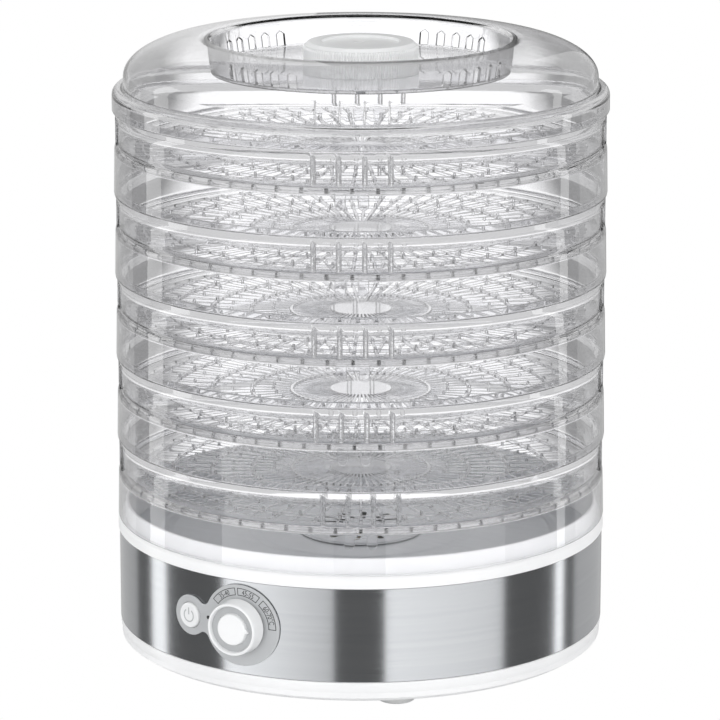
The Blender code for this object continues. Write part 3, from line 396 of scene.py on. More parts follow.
WHITE_ABS = MouldedPlastic("white_abs", Slot.WHITE, "f5f5f6", "f1f2f3")
BUTTON_ABS = MouldedPlastic("white_abs_polished", Slot.WHITE, "f0f1f2", "eaebec", (0.16, 0.22))
# Mid-grey that paints the shade of the dial's recess; the power symbol takes the same grey.
RECESS_SHADE_AND_SYMBOL_GREY = MouldedPlastic("grey_recess_shade_and_symbol", Slot.WHITE, "b4b6b8", "acaeb0", (0.35, 0.45))
SILVER_ABS = MouldedPlastic("silver_painted_abs", Slot.SILVER, "bcbec0", "b5b7b9", (0.34, 0.42))
BLACK_PA = MouldedPlastic("black_glass_filled_polyamide", Slot.BLACK, "26272a", "1c1d1f",
                          (0.42, 0.55))
PVC_LEAD = MouldedPlastic("black_pvc_insulation", Slot.LEAD, "2a2a2c", "202022", (0.30, 0.40))
PRINT_INK = MouldedPlastic("grey_pad_print_ink", Slot.SILVER, "202124", "18191b", (0.45, 0.55),
                           0.0003, 0.000005)
CLEAR_PS = ClearMoulding("crystal_polystyrene", Slot.CLEAR, "fdfdfe", "fafafb")
MILKY_PS = ClearMoulding("milky_polystyrene", Slot.MILKY, "fafbfb", "f4f5f6", (0.24, 0.28),
                         0.030, 0.00001, 1.50, 0.08)
BAND_STEEL = BrushedSteel("stainless_brushed_round", Slot.BAND, "bcbec0", "b3b5b8")
DECK_STEEL = BrushedSteel("stainless_satin_sheet", Slot.DECK, "e6e8ea", "d9dbde", Grain.ALONG_X,
                          0.0006, (0.28, 0.38), 0.6, 0.0)
ZINC_STEEL = PlatedSteel("zinc_plated_steel", Slot.PLATED, "c3c7cc", "a4a8ae")
FOOT_RUBBER = SoftRubber("white_silicone_rubber", Slot.WHITE_RUBBER, "eceded", "e2e3e3")
GLAND_RUBBER = SoftRubber("black_rubber_moulding", Slot.BLACK_RUBBER, "2b2b2d", "1e1e20")
MICA = MicaSheet("pressed_mica", Slot.MICA, "cdb78a", "a68f63")
NICHROME = OxidisedWire("oxidised_nichrome", Slot.COIL, "7d736c", "4b4540")
GLASS_BRAID = BraidedSleeve("glass_fibre_sleeving", Slot.SLEEVE, "efece2", "c9c4b6")


# ---------------------------------------------------------------------------
# Shaping
# ---------------------------------------------------------------------------


def in_scene(name: str, data: bpy.types.ID) -> bpy.types.Object:
    """Make an object of some data and put it in the scene."""
    made = bpy.data.objects.new(name, data)
    bpy.context.scene.collection.objects.link(made)
    return made


def taken(source: bpy.types.Object) -> bmesh.types.BMesh:
    """Take the finished mesh of an object, and delete the object."""
    graph = bpy.context.evaluated_depsgraph_get()
    bm = bmesh.new()
    bm.from_mesh(source.evaluated_get(graph).to_mesh())
    bpy.data.objects.remove(source, do_unlink=True)
    return bm


def bevelled(bm: bmesh.types.BMesh, edges: list[bmesh.types.BMEdge], rounding: float,
             segments: int) -> bmesh.types.BMesh:
    """Round the given edges of a mesh and return it."""
    bmesh.ops.bevel(bm, geom=edges, offset=rounding, segments=segments, profile=0.5,
                    affect="EDGES", material=-1, clamp_overlap=True)
    return bm


def thickened(bm: bmesh.types.BMesh, height: float) -> bmesh.types.BMesh:
    """Give flat faces a thickness along Z and return the mesh."""
    raised = bmesh.ops.extrude_face_region(bm, geom=bm.faces[:])["geom"]
    lifted = [item for item in raised if isinstance(item, bmesh.types.BMVert)]
    bmesh.ops.translate(bm, vec=(0, 0, height), verts=lifted)
    bmesh.ops.recalc_face_normals(bm, faces=bm.faces)
    return bm


def turned(corners: list[Corner], steps: int = FINE_STEPS) -> bmesh.types.BMesh:
    """Turn a closed outline about Z, with its corners rounded first.

    Args:
        corners: The outline's corners in order; one that starts and ends on the axis is
            closed by the axis.
        steps: Facets in the full turn.

    Returns:
        A closed mesh.
    """
    bm = bmesh.new()
    points = [bm.verts.new((radius, 0.0, height)) for radius, height, _ in corners]
    for first, second in zip(points, points[1:]):
        bm.edges.new((first, second))
    if corners[0][0] > 0.0 or corners[-1][0] > 0.0:
        bm.edges.new((points[-1], points[0]))
    for rounding in sorted({corner[2] for corner in corners if corner[2] > 0.0}):
        rounded = [point for point, corner in zip(points, corners) if corner[2] == rounding]
        bmesh.ops.bevel(bm, geom=rounded, offset=rounding, offset_type="OFFSET", segments=3,
                        profile=0.5, affect="VERTICES", material=-1, clamp_overlap=True)
    bmesh.ops.spin(bm, geom=bm.verts[:] + bm.edges[:], cent=(0, 0, 0), axis=(0, 0, 1),
                   dvec=(0, 0, 0), angle=math.tau, steps=steps, use_merge=True,
                   use_normal_flip=False, use_duplicate=False)
    return welded(bm)


def welded(bm: bmesh.types.BMesh, distance: float = 0.000002) -> bmesh.types.BMesh:
    """Merge doubled points and turn every face outwards.

    Args:
        bm: The mesh.
        distance: How near two points are merged.

    Returns:
        The same mesh.
    """
    bmesh.ops.remove_doubles(bm, verts=bm.verts, dist=distance)
    bmesh.ops.recalc_face_normals(bm, faces=bm.faces)
    return bm


def arc(centre: tuple[float, float], reach: tuple[float, float], start: float, end: float,
        steps: int) -> list[tuple[float, float]]:
    """Points along an ellipse.

    Args:
        centre: The ellipse's centre.
        reach: Its two half-axes.
        start: First angle in degrees.
        end: Last angle in degrees.
        steps: Chords between the two.

    Returns:
        The points, both ends included.
    """
    angles = [math.radians(start + (end - start) * step / steps) for step in range(steps + 1)]
    return [(centre[0] + reach[0] * math.cos(angle), centre[1] + reach[1] * math.sin(angle))
            for angle in angles]


def smooth(points: list[tuple[float, float]]) -> list[Corner]:
    """Make points of a curve into corners that need no rounding."""
    return [(radius, height, 0.0) for radius, height in points]


def block(size: tuple[float, float, float], place: Matrix, rounding: float = 0.0,
          segments: int = 2) -> bmesh.types.BMesh:
    """Make a block, with its edges rounded.

    Args:
        size: Length, width and height.
        place: Matrix of its centre.
        rounding: Radius of the edges.
        segments: Facets of each rounded edge.

    Returns:
        A closed mesh.
    """
    bm = bmesh.new()
    bmesh.ops.create_cube(bm, size=1.0, matrix=Matrix.Diagonal((*size, 1.0)))
    if rounding:
        bevelled(bm, bm.edges[:], rounding, segments)
    return moved(bm, place)


def rod(radius: float, length: float, place: Matrix, rounding: float = 0.0,
        steps: int = 24, taper: float = 1.0) -> bmesh.types.BMesh:
    """Make a rod along Z, with its end edges rounded.

    Args:
        radius: Radius of its lower end.
        length: Its length.
        place: Matrix of its centre.
        rounding: Radius of the end edges.
        steps: Facets round it.
        taper: Upper radius as a share of the lower.

    Returns:
        A closed mesh.
    """
    bm = bmesh.new()
    bmesh.ops.create_cone(bm, cap_ends=True, segments=steps, radius1=radius,
                          radius2=radius * taper, depth=length)
    if rounding:
        ends = [edge for edge in bm.edges
                if abs(edge.verts[0].co.z - edge.verts[1].co.z) < SAME_POINT]
        bevelled(bm, ends, rounding, 4)
    return moved(bm, place)


def plate(outline: list[tuple[float, float]], thickness: float) -> bmesh.types.BMesh:
    """Make a flat plate of an outline, standing on the XY plane.

    Args:
        outline: The corners in order.
        thickness: Its height along Z.

    Returns:
        A closed mesh.
    """
    bm = bmesh.new()
    bm.faces.new([bm.verts.new((x, y, 0.0)) for x, y in outline])
    return thickened(bm, thickness)


def softened(bm: bmesh.types.BMesh, rounding: float, segments: int = 2,
             angle: float = 0.9) -> bmesh.types.BMesh:
    """Round every edge that is sharper than an angle.

    Args:
        bm: The mesh.
        rounding: Radius of the edges.
        segments: Facets of each rounded edge.
        angle: Least angle between faces, in radians.

    Returns:
        The same mesh.
    """
    sharp = [edge for edge in bm.edges if edge.calc_face_angle(0.0) > angle]
    return bevelled(bm, sharp, rounding, segments)


def joined(parts: list[bmesh.types.BMesh]) -> bmesh.types.BMesh:
    """Put several meshes in one, unwelded, and free them.

    Args:
        parts: The meshes.

    Returns:
        One mesh that holds them all.
    """
    whole = bmesh.new()
    for part in parts:
        mesh = bpy.data.meshes.new("part")
        part.to_mesh(mesh)
        part.free()
        whole.from_mesh(mesh)
        bpy.data.meshes.remove(mesh)
    return whole


def moved(bm: bmesh.types.BMesh, place: Matrix) -> bmesh.types.BMesh:
    """Move a mesh by a matrix and return it."""
    bmesh.ops.transform(bm, matrix=place, verts=bm.verts)
    return bm


def worked(body: bmesh.types.BMesh, tools: list[bmesh.types.BMesh],
           operation: Operation) -> bmesh.types.BMesh:
    """Weld tools to a body, or cut them out of it, and free them.

    Args:
        body: The body.
        tools: The tools, which may not overlap each other.
        operation: Weld or cut.

    Returns:
        The worked mesh.
    """
    meshes = []
    for bm in (body, joined(tools)):
        meshes.append(bpy.data.meshes.new("work"))
        bm.to_mesh(meshes[-1])
        bm.free()
    blank, tool = (in_scene("work", mesh) for mesh in meshes)
    modifier = blank.modifiers.new("work", "BOOLEAN")
    modifier.operation = operation.value
    modifier.solver = "EXACT"
    modifier.object = tool
    result = taken(blank)
    bpy.data.objects.remove(tool, do_unlink=True)
    for mesh in meshes:
        bpy.data.meshes.remove(mesh)
    return result


def at_azimuth(azimuth: float, radius: float = 0.0, height: float = 0.0) -> Matrix:
    """Frame standing upright at an azimuth in degrees: X outwards, Z up."""
    turn = Matrix.Rotation(math.radians(azimuth - 90.0), 4, "Z")
    return turn @ Matrix.Translation((radius, 0.0, height))


def facing_out(azimuth: float, radius: float, height: float) -> Matrix:
    """Frame on the side wall: X to the right seen from outside, Y up, Z outwards."""
    angle = math.radians(azimuth)
    right = Vector((math.cos(angle), math.sin(angle), 0.0))
    out = Vector((math.sin(angle), -math.cos(angle), 0.0))
    place = out * radius + Vector((0.0, 0.0, height))
    rows = [(right[i], float(i == 2), out[i], place[i]) for i in range(3)]
    return Matrix((*rows, (0.0, 0.0, 0.0, 1.0)))


def long_hole(length: float, width: float, depth: float, place: Matrix) -> bmesh.types.BMesh:
    """Cutter of a slot with round ends: length along X, depth along Z."""
    bm = bmesh.new()
    bmesh.ops.create_cube(bm, size=1.0, matrix=Matrix.Diagonal((length, width, depth, 1.0)))
    upright = [edge for edge in bm.edges
               if abs(edge.verts[0].co.z - edge.verts[1].co.z) > depth / 2]
    return moved(bevelled(bm, upright, 0.49 * width, 5), place)


def ring_of_slots(count: int, span: tuple[float, float], width: float, height: float,
                  first: float = 0.0) -> list[bmesh.types.BMesh]:
    """Cutters of radial slots, evenly round the axis.

    Args:
        count: How many.
        span: Radius of their inner and outer ends.
        width: Width of a slot.
        height: Level of the sheet that they go through.
        first: Azimuth of the first, as a share of the step between two.

    Returns:
        The cutters.
    """
    start, end = span
    return [long_hole(end - start, width, CUT_THROUGH, at_azimuth(
        360.0 * (index + first) / count, (start + end) / 2, height)) for index in range(count)]


def add_piece(name: str, bm: bmesh.types.BMesh, finish: Finish, body: str,
              stands_for: tuple[str, ...] = ()) -> bpy.types.Object:
    """Turn a mesh into a finished piece that rides on a body.

    Args:
        name: The piece's name.
        bm: Its mesh, in place; it is freed.
        finish: Its finish.
        body: The body that it moves with.
        stands_for: The frame's nodes that it replaces.

    Returns:
        The piece.
    """
    mesh = bpy.data.meshes.new(name)
    bm.to_mesh(mesh)
    bm.free()
    mesh.shade_smooth()
    mesh.set_sharp_from_angle(angle=SHARP_ANGLE)
    mesh.materials.append(finish.material())
    piece = in_scene(name, mesh)
    # Large faces set the shading normals, so that clear walls don't bend light like lenses.
    piece.modifiers.new("even_normals", "WEIGHTED_NORMAL").keep_sharp = True
    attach(piece, body)
    if stands_for:
        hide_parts(*stands_for)
    LOG.info("%s: %d faces, %s", name, len(mesh.polygons), finish.name)
    return piece


def dress(nodes: dict[str, bpy.types.Object], names: tuple[str, ...], finish: Finish) -> None:
    """Give nodes of the frame that stay in sight their finish.

    Args:
        nodes: The frame's nodes by name.
        names: The nodes to dress.
        finish: Their finish.
    """
    for name in names:
        node = nodes[name]
        if not node.material_slots:
            node.data.materials.append(finish.material())
        for slot in node.material_slots:
            slot.material = finish.material()
        LOG.info("%s kept, %s", name, finish.name)


# ---------------------------------------------------------------------------
# Base
# ---------------------------------------------------------------------------


@dataclass
class Housing:
    """White pan and upper shell, the steel band between them, feet and screws."""

    pan_wall: float = 0.0025
    pan_step: float = 0.0007
    pan_run: float = 0.0062
    pan_lip: float = 0.0015
    shell_wall: float = 0.0022
    band_sheet: float = 0.0006
    lap_azimuth: float = 150.0
    ledge: tuple[float, float] = (0.0160, 0.0022)
    seat_height: float = 0.0893
    intake: tuple[float, float, float] = (0.0260, 0.0480, 0.0080)
    intake_count: int = 8
    outer_intake: tuple[float, float, float] = (0.0580, 0.0740, 0.0035)
    outer_intake_count: int = 24
    foot_radius: float = 0.0128
    foot_peg: float = 0.0032
    boss_radius: float = 0.0045
    screw_hole: float = 0.0020
    pilot_depth: float = 0.032
    screw_radius: float = 0.0016
    head_radius: float = 0.0036
    head_height: float = 0.0020
    cross: tuple[float, float, float] = (0.0040, 0.0007, 0.0024)
    button_hole: float = 0.0085
    gland_hole: float = 0.0065

    def centre_of(self, name: str) -> tuple[float, float]:
        """Azimuth in degrees and distance from the axis of a node's middle."""
        low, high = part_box(name)
        middle = (low + high) / 2
        return math.degrees(math.atan2(middle.x, -middle.y)), math.hypot(middle.x, middle.y)

    def places(self, kind: str, count: int) -> list[tuple[float, float]]:
        """Azimuth and distance from the axis of each node of a numbered kind."""
        return [self.centre_of(f"{kind}_{number}") for number in range(1, count + 1)]

    def holes(self, places: list[tuple[float, float]], radius: float, level: float,
              depth: float = CUT_THROUGH) -> list[bmesh.types.BMesh]:
        """Upright cutters of round holes, centred on a level."""
        return [rod(radius, depth, at_azimuth(azimuth, distance, level), steps=BORE_STEPS)
                for azimuth, distance in places]

    def openings(self) -> list[bmesh.types.BMesh]:
        """Cutters for the dial's shaft, the button and the cord gland."""
        cutters = []
        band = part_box("steel_band")[1].x
        for name, radius in (("thermostat_shaft", SHAFT_BORE), ("power_button", self.button_hole),
                             ("cord_gland", self.gland_hole)):
            low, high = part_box(name)
            place = facing_out(self.centre_of(name)[0], band, (low.z + high.z) / 2)
            cutters.append(rod(radius, 2 * CUT_THROUGH, place, steps=48))
        return cutters

    def pan(self) -> None:
        """White underpan with its air intake, foot seats, screw wells and ribs."""
        low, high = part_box("base_pan")
        band_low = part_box("steel_band")[0].z
        outer = high.x
        inner = outer - self.pan_step
        run = self.pan_run
        top = band_low - TOUCH_GAP
        wall = self.pan_wall
        shell = inner - self.shell_wall
        centre = (outer - run, top - self.pan_lip)
        rise = centre[1] - low.z
        corners = [(0.0, low.z + wall, 0.0)]
        corners += smooth(arc(centre, (run - wall, rise - wall), -90, 0, 8))
        corners += [(shell, top, 0.0004), (shell, high.z, 0.0006), (inner, high.z, 0.0006),
                    (inner, top, 0.0003), (outer, top, 0.0005)]
        corners += smooth(arc(centre, (run, rise), 0, -90, 14))
        corners += [(0.0, low.z, 0.0)]
        pan = turned(corners)
        posts = self.places("bracket_screw", 2)
        post_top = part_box("motor_bracket")[0].z - TOUCH_GAP
        bottom = low.z + wall / 2
        pan = worked(pan, [
            rod(self.boss_radius, post_top - bottom, at_azimuth(
                azimuth, radius, (post_top + bottom) / 2), 0.0005, 32)
            for azimuth, radius in posts], Operation.WELD)
        cutters = ring_of_slots(self.intake_count, self.intake[:2], self.intake[2], low.z, 0.5)
        cutters += ring_of_slots(self.outer_intake_count, self.outer_intake[:2],
                                 self.outer_intake[2], low.z, 0.5)
        cutters += self.holes(self.places("foot", 4), self.foot_peg + TOUCH_GAP, low.z)
        cutters += self.holes(self.places("housing_screw", 4), self.screw_hole, low.z)
        cutters += self.holes(posts, self.screw_hole, post_top)
        add_piece("base_pan_moulding", worked(pan, cutters, Operation.CUT), WHITE_ABS, "base",
                  ("base_pan",))

    def feet(self) -> None:
        """Four soft feet with rounded lower edges, each on a peg through the pan."""
        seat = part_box("base_pan")[0].z - TOUCH_GAP
        for number in range(1, 5):
            name = f"foot_{number}"
            low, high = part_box(name)
            middle = (low + high) / 2
            foot = turned([
                (0.0, high.z, 0.0), (self.foot_peg, high.z, 0.0004),
                (self.foot_peg, seat, 0.0), (self.foot_radius, seat, 0.0004),
                (self.foot_radius + 0.0002, 0.0040, 0.0),
                (self.foot_radius - 0.0003, 0.0016, 0.0012),
                (self.foot_radius - 0.0022, 0.0, 0.0012), (0.0, 0.0, 0.0)], SMALL_STEPS)
            place = Matrix.Translation((middle.x, middle.y, 0.0))
            add_piece(f"{name}_pad", moved(foot, place), FOOT_RUBBER, "base", (name,))

    def band(self) -> None:
        """Brushed sleeve with turned-in edges and its lap joint at the back."""
        low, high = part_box("steel_band")
        outer = high.x
        inner = outer - self.band_sheet
        sleeve = turned([(inner, high.z, 0.0001), (outer, high.z, 0.0003),
                         (outer, low.z, 0.0003), (inner, low.z, 0.0001)], 2 * FINE_STEPS)
        lap = block((0.0010, 0.0005, high.z - low.z + 0.004),
                    at_azimuth(self.lap_azimuth, outer + 0.0003, (low.z + high.z) / 2))
        sleeve = worked(sleeve, [*self.openings(), lap], Operation.CUT)
        add_piece("steel_band_sleeve", sleeve, BAND_STEEL, "base", ("steel_band",))

    def shell(self) -> None:
        """White ring over the band: shoulder, tray seat, collar, ledge and screw bosses."""
        low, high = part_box("upper_shell")
        band_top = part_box("steel_band")[1].z
        deck_low, deck_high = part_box("deck_plate")
        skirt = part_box("tray_5")[1].x
        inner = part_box("steel_band")[1].x - self.band_sheet - TOUCH_GAP
        shell_inner = inner - self.shell_wall
        collar_inner = deck_high.x + TOUCH_GAP
        collar = collar_inner + self.shell_wall
        ledge_width, ledge_thickness = self.ledge
        ledge_top = deck_low.z - TOUCH_GAP
        ledge_low = ledge_top - ledge_thickness
        shoulder = band_top + TOUCH_GAP
        seat = self.seat_height
        ring = turned([
            (collar_inner, high.z, 0.0008), (collar, high.z, 0.0010), (collar, seat, 0.0006),
            (skirt - 0.0012, seat, 0.0006), (skirt, seat - 0.0022, 0.0010),
            (high.x, shoulder, 0.0003), (inner, shoulder, 0.0002), (inner, low.z, 0.0004),
            (shell_inner, low.z, 0.0004), (shell_inner, ledge_low, 0.0008),
            (collar_inner - ledge_width, ledge_low, 0.0003),
            (collar_inner - ledge_width, ledge_top, 0.0003), (collar_inner, ledge_top, 0.0004)])
        screws = self.places("housing_screw", 4)
        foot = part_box("base_pan")[0].z + self.pan_wall + TOUCH_GAP
        head = ledge_low + ledge_thickness / 2
        ring = worked(ring, [
            rod(self.boss_radius, head - foot, at_azimuth(azimuth, radius, (head + foot) / 2),
                steps=32) for azimuth, radius in screws], Operation.WELD)
        pilots = self.holes(screws, self.screw_hole, foot, self.pilot_depth)
        ring = worked(ring, [*self.openings(), *pilots], Operation.CUT)
        add_piece("upper_shell_moulding", ring, WHITE_ABS, "base", ("upper_shell",))

    def screws(self) -> None:
        """Pan-head screws with cross recesses, under the pan and on the motor's bracket."""
        names = [f"housing_screw_{number}" for number in range(1, 5)]
        names += [f"bracket_screw_{number}" for number in range(1, 3)]
        for name in names:
            low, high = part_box(name)
            middle = (low + high) / 2
            length = high.z - low.z
            head = self.head_height
            upwards = name.startswith("bracket")
            screw = turned([
                (0.0, head, 0.0), (0.0022, head - 0.0001, 0.0006),
                (self.head_radius - 0.0001, 0.0008, 0.0005), (self.head_radius, 0.0, 0.0002),
                (self.screw_radius, 0.0, 0.0), (self.screw_radius, 0.0035 - length, 0.0004),
                (0.0, head - length, 0.0)], 32)
            long, wide, deep = self.cross
            for size in ((long, wide, deep), (wide, long, deep)):
                arm = block(size, Matrix.Translation((0, 0, head)))
                screw = worked(screw, [arm], Operation.CUT)
            turn = Matrix.Identity(4) if upwards else Matrix.Rotation(math.pi, 4, "X")
            height = high.z - head if upwards else low.z + head
            place = Matrix.Translation((middle.x, middle.y, height)) @ turn
            add_piece(f"{name}_crosshead", moved(screw, place), ZINC_STEEL, "base", (name,))

    def build(self) -> None:
        """Build every piece of the housing."""
        self.pan()
        self.feet()
        self.band()
        self.shell()
        self.screws()


@dataclass
class AirDeck:
    """Sheet deck over the heater, and the slotted cover of its outlet."""

    bead: float = 0.0006
    bead_circles: tuple[float, ...] = (0.070, 0.128)
    bead_width: float = 0.0080
    slot_width: float = 0.0045
    slot_count: int = 12
    outlet_radius: float = 0.0363

    def plate(self) -> None:
        """Satin sheet with two pressed beads and a turned-down outlet."""
        low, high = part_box("deck_plate")
        corners = [(self.outlet_radius, high.z, 0.0003)]
        foot = high.z - self.bead
        for radius in self.bead_circles:
            for share, level, rounding in ((-0.50, high.z, 0.0015), (-0.25, foot, 0.0008),
                                           (0.25, foot, 0.0008), (0.50, high.z, 0.0015)):
                corners.append((radius + share * self.bead_width, level, rounding))
        corners += [(high.x, high.z, 0.0003), (high.x, low.z, 0.0002),
                    (self.outlet_radius, low.z, 0.0002)]
        add_piece("deck_plate_sheet", turned(corners), DECK_STEEL, "base", ("deck_plate",))

    def cover(self) -> None:
        """Pressed cover with radial slots and a raised hub."""
        low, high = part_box("outlet_grille")
        spigot = self.outlet_radius - TOUCH_GAP
        edge = high.z - 0.0014
        cover = turned([
            (0.0, high.z, 0.0), (high.x - 0.0012, high.z, 0.0008),
            (high.x, high.z - 0.0008, 0.0005), (high.x, edge, 0.0002), (spigot, edge, 0.0),
            (spigot, low.z, 0.0003), (0.0, low.z, 0.0)])
        length = 0.62 * self.outlet_radius
        slots = [long_hole(length, self.slot_width, 0.020, at_azimuth(
            360.0 * index / self.slot_count, 0.60 * self.outlet_radius, high.z))
            for index in range(self.slot_count)]
        cover = softened(worked(cover, slots, Operation.CUT), 0.0002, 1)
        add_piece("outlet_cover_pressing", cover, DECK_STEEL, "base", ("outlet_grille",))

    def build(self) -> None:
        """Build the deck and its cover."""
        self.plate()
        self.cover()


@dataclass
class Internals:
    """Motor, fan, heater and wiring under the deck."""

    nodes: dict[str, bpy.types.Object]
    coil_turns: int = 60
    turn_points: int = 10
    wire_radius: float = 0.00035
    hub: float = 0.0090
    fan_bore: float = 0.0018
    blades: int = 7
    blade_sheet: float = 0.0010
    root_pitch: float = 52.0
    twist: float = 26.0
    root_chord: float = 0.0125
    camber: float = 0.0012

    def coil(self) -> None:
        """Helix of resistance wire, wound along the heater's ring."""
        low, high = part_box("heating_coil")
        winding = (high.z - low.z) / 2 - self.wire_radius
        ring = high.x - (high.z - low.z) / 2
        height = (low.z + high.z) / 2
        curve = bpy.data.curves.new("coil_path", "CURVE")
        curve.dimensions = "3D"
        curve.bevel_depth = self.wire_radius
        curve.bevel_resolution = 1
        count = self.coil_turns * self.turn_points
        spline = curve.splines.new("POLY")
        spline.points.add(count - 1)
        for index, point in enumerate(spline.points):
            along = math.tau * index / count
            around = along * self.coil_turns
            reach = ring + winding * math.cos(around)
            point.co = (reach * math.cos(along), reach * math.sin(along),
                        height + winding * math.sin(around), 1.0)
        spline.use_cyclic_u = True
        bm = taken(in_scene("coil_path", curve))
        bpy.data.curves.remove(curve)
        add_piece("heating_coil_winding", bm, NICHROME, "base", ("heating_coil",))

    def blade(self, tip: float, height: float) -> bmesh.types.BMesh:
        """One cambered blade that twists from the hub to the tip, along X.

        Args:
            tip: Radius that the blades reach.
            height: Room for the blade from bottom to top.

        Returns:
            A closed mesh, centred on the fan's middle height.
        """
        root = self.hub - 0.0015
        reach = tip - 0.0006 - root
        blade = bmesh.new()
        bmesh.ops.create_grid(blade, x_segments=10, y_segments=6, size=0.5)
        for vert in blade.verts:
            share = vert.co.x + 0.5
            pitch = math.radians(self.root_pitch - self.twist * share)
            chord = self.root_chord + 0.0055 * share - 0.0040 * max(0.0, share - 0.75)
            along = vert.co.y * chord
            bulge = self.camber * (1.0 - 4.0 * vert.co.y ** 2)
            rise = along * math.sin(pitch) - bulge * math.cos(pitch)
            vert.co = (root + share * reach, along * math.cos(pitch) + bulge * math.sin(pitch),
                       max(-height / 2, min(height / 2, rise)))
        bmesh.ops.recalc_face_normals(blade, faces=blade.faces)
        bmesh.ops.solidify(blade, geom=blade.faces[:], thickness=self.blade_sheet)
        bmesh.ops.recalc_face_normals(blade, faces=blade.faces)
        return blade

    def fan(self) -> None:
        """Moulded impeller: domed hub and twisted blades."""
        low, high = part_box("fan_impeller")
        top, bottom = high.z, low.z
        shaft_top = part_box("motor_shaft")[1].z + TOUCH_GAP
        body = turned([
            (0.0, top, 0.0), (self.hub - 0.0005, top, 0.0030), (self.hub, bottom, 0.0006),
            (self.fan_bore, bottom, 0.0002), (self.fan_bore, shaft_top, 0.0),
            (0.0, shaft_top, 0.0)], 48)
        room = top - 0.0010 - bottom
        blades = [moved(self.blade(max(high.x, -low.x), 0.92 * room), at_azimuth(
            360.0 * (index + 0.25) / self.blades, 0.0, bottom + room / 2))
            for index in range(self.blades)]
        add_piece("fan_impeller_moulding", worked(body, blades, Operation.WELD), BLACK_PA, "fan",
                  ("fan_impeller",))

    def build(self) -> None:
        """Build the coil and fan, and dress the frame's nodes that stay."""
        self.coil()
        self.fan()
        dress(self.nodes, ("air_duct", "motor_bracket", "fan_motor", "motor_shaft",
                           "thermostat_shaft"), ZINC_STEEL)
        dress(self.nodes, ("thermostat", "power_switch"), BLACK_PA)
        dress(self.nodes, ("terminal_block", "thermal_fuse"), WHITE_ABS)
        dress(self.nodes, ("heater_frame",), MICA)
        dress(self.nodes, ("wire_supply", "wire_control", "wire_motor"), PVC_LEAD)
        dress(self.nodes, ("wire_heater",), GLASS_BRAID)


@dataclass
class CordGland:
    """Black sleeve that the mains cord would pass through, at the back."""

    bore: float = 0.0033
    neck: float = 0.0062
    collar: float = 0.0090
    rings: int = 5
    ring_radius: float = 0.0050
    ring_depth: float = 0.0010

    def build(self) -> None:
        """Turned sleeve with flexing rings and a collar against the band."""
        low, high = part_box("cord_gland")
        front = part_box("steel_band")[1].x + 0.0004
        tip, back = high.y, low.y
        corners = [(self.bore, tip, 0.0003), (self.bore + 0.0018, tip, 0.0006)]
        pitch = (tip - front - 0.0035) / self.rings
        for ring in range(self.rings):
            top = tip - 0.0012 - ring * pitch
            wide = self.ring_radius + 0.0003 * ring
            narrow = wide - self.ring_depth
            corners += [(wide, top, 0.0003), (wide, top - 0.55 * pitch, 0.0003),
                        (narrow, top - 0.60 * pitch, 0.0002), (narrow, top - 0.95 * pitch, 0.0002)]
        corners += [(self.neck, front + 0.0022, 0.0003), (self.collar, front + 0.0018, 0.0006),
                    (self.collar, front, 0.0003), (self.neck, front, 0.0),
                    (self.neck, back + 0.0045, 0.0),
                    (0.0080, back + 0.0040, 0.0004), (0.0070, back, 0.0004),
                    (self.bore, back, 0.0002)]
        sleeve = turned(corners, SMALL_STEPS)
        place = facing_out(180.0, 0.0, (low.z + high.z) / 2)
        add_piece("cord_gland_sleeve", moved(sleeve, place), GLAND_RUBBER, "base",
                  ("cord_gland",))


# ---------------------------------------------------------------------------
# Control panel
# ---------------------------------------------------------------------------


@dataclass(frozen=True)
class ScaleMark:
    """One box of the dial's scale, with its ends in degrees clockwise from the top."""

    text: str
    start: float
    end: float


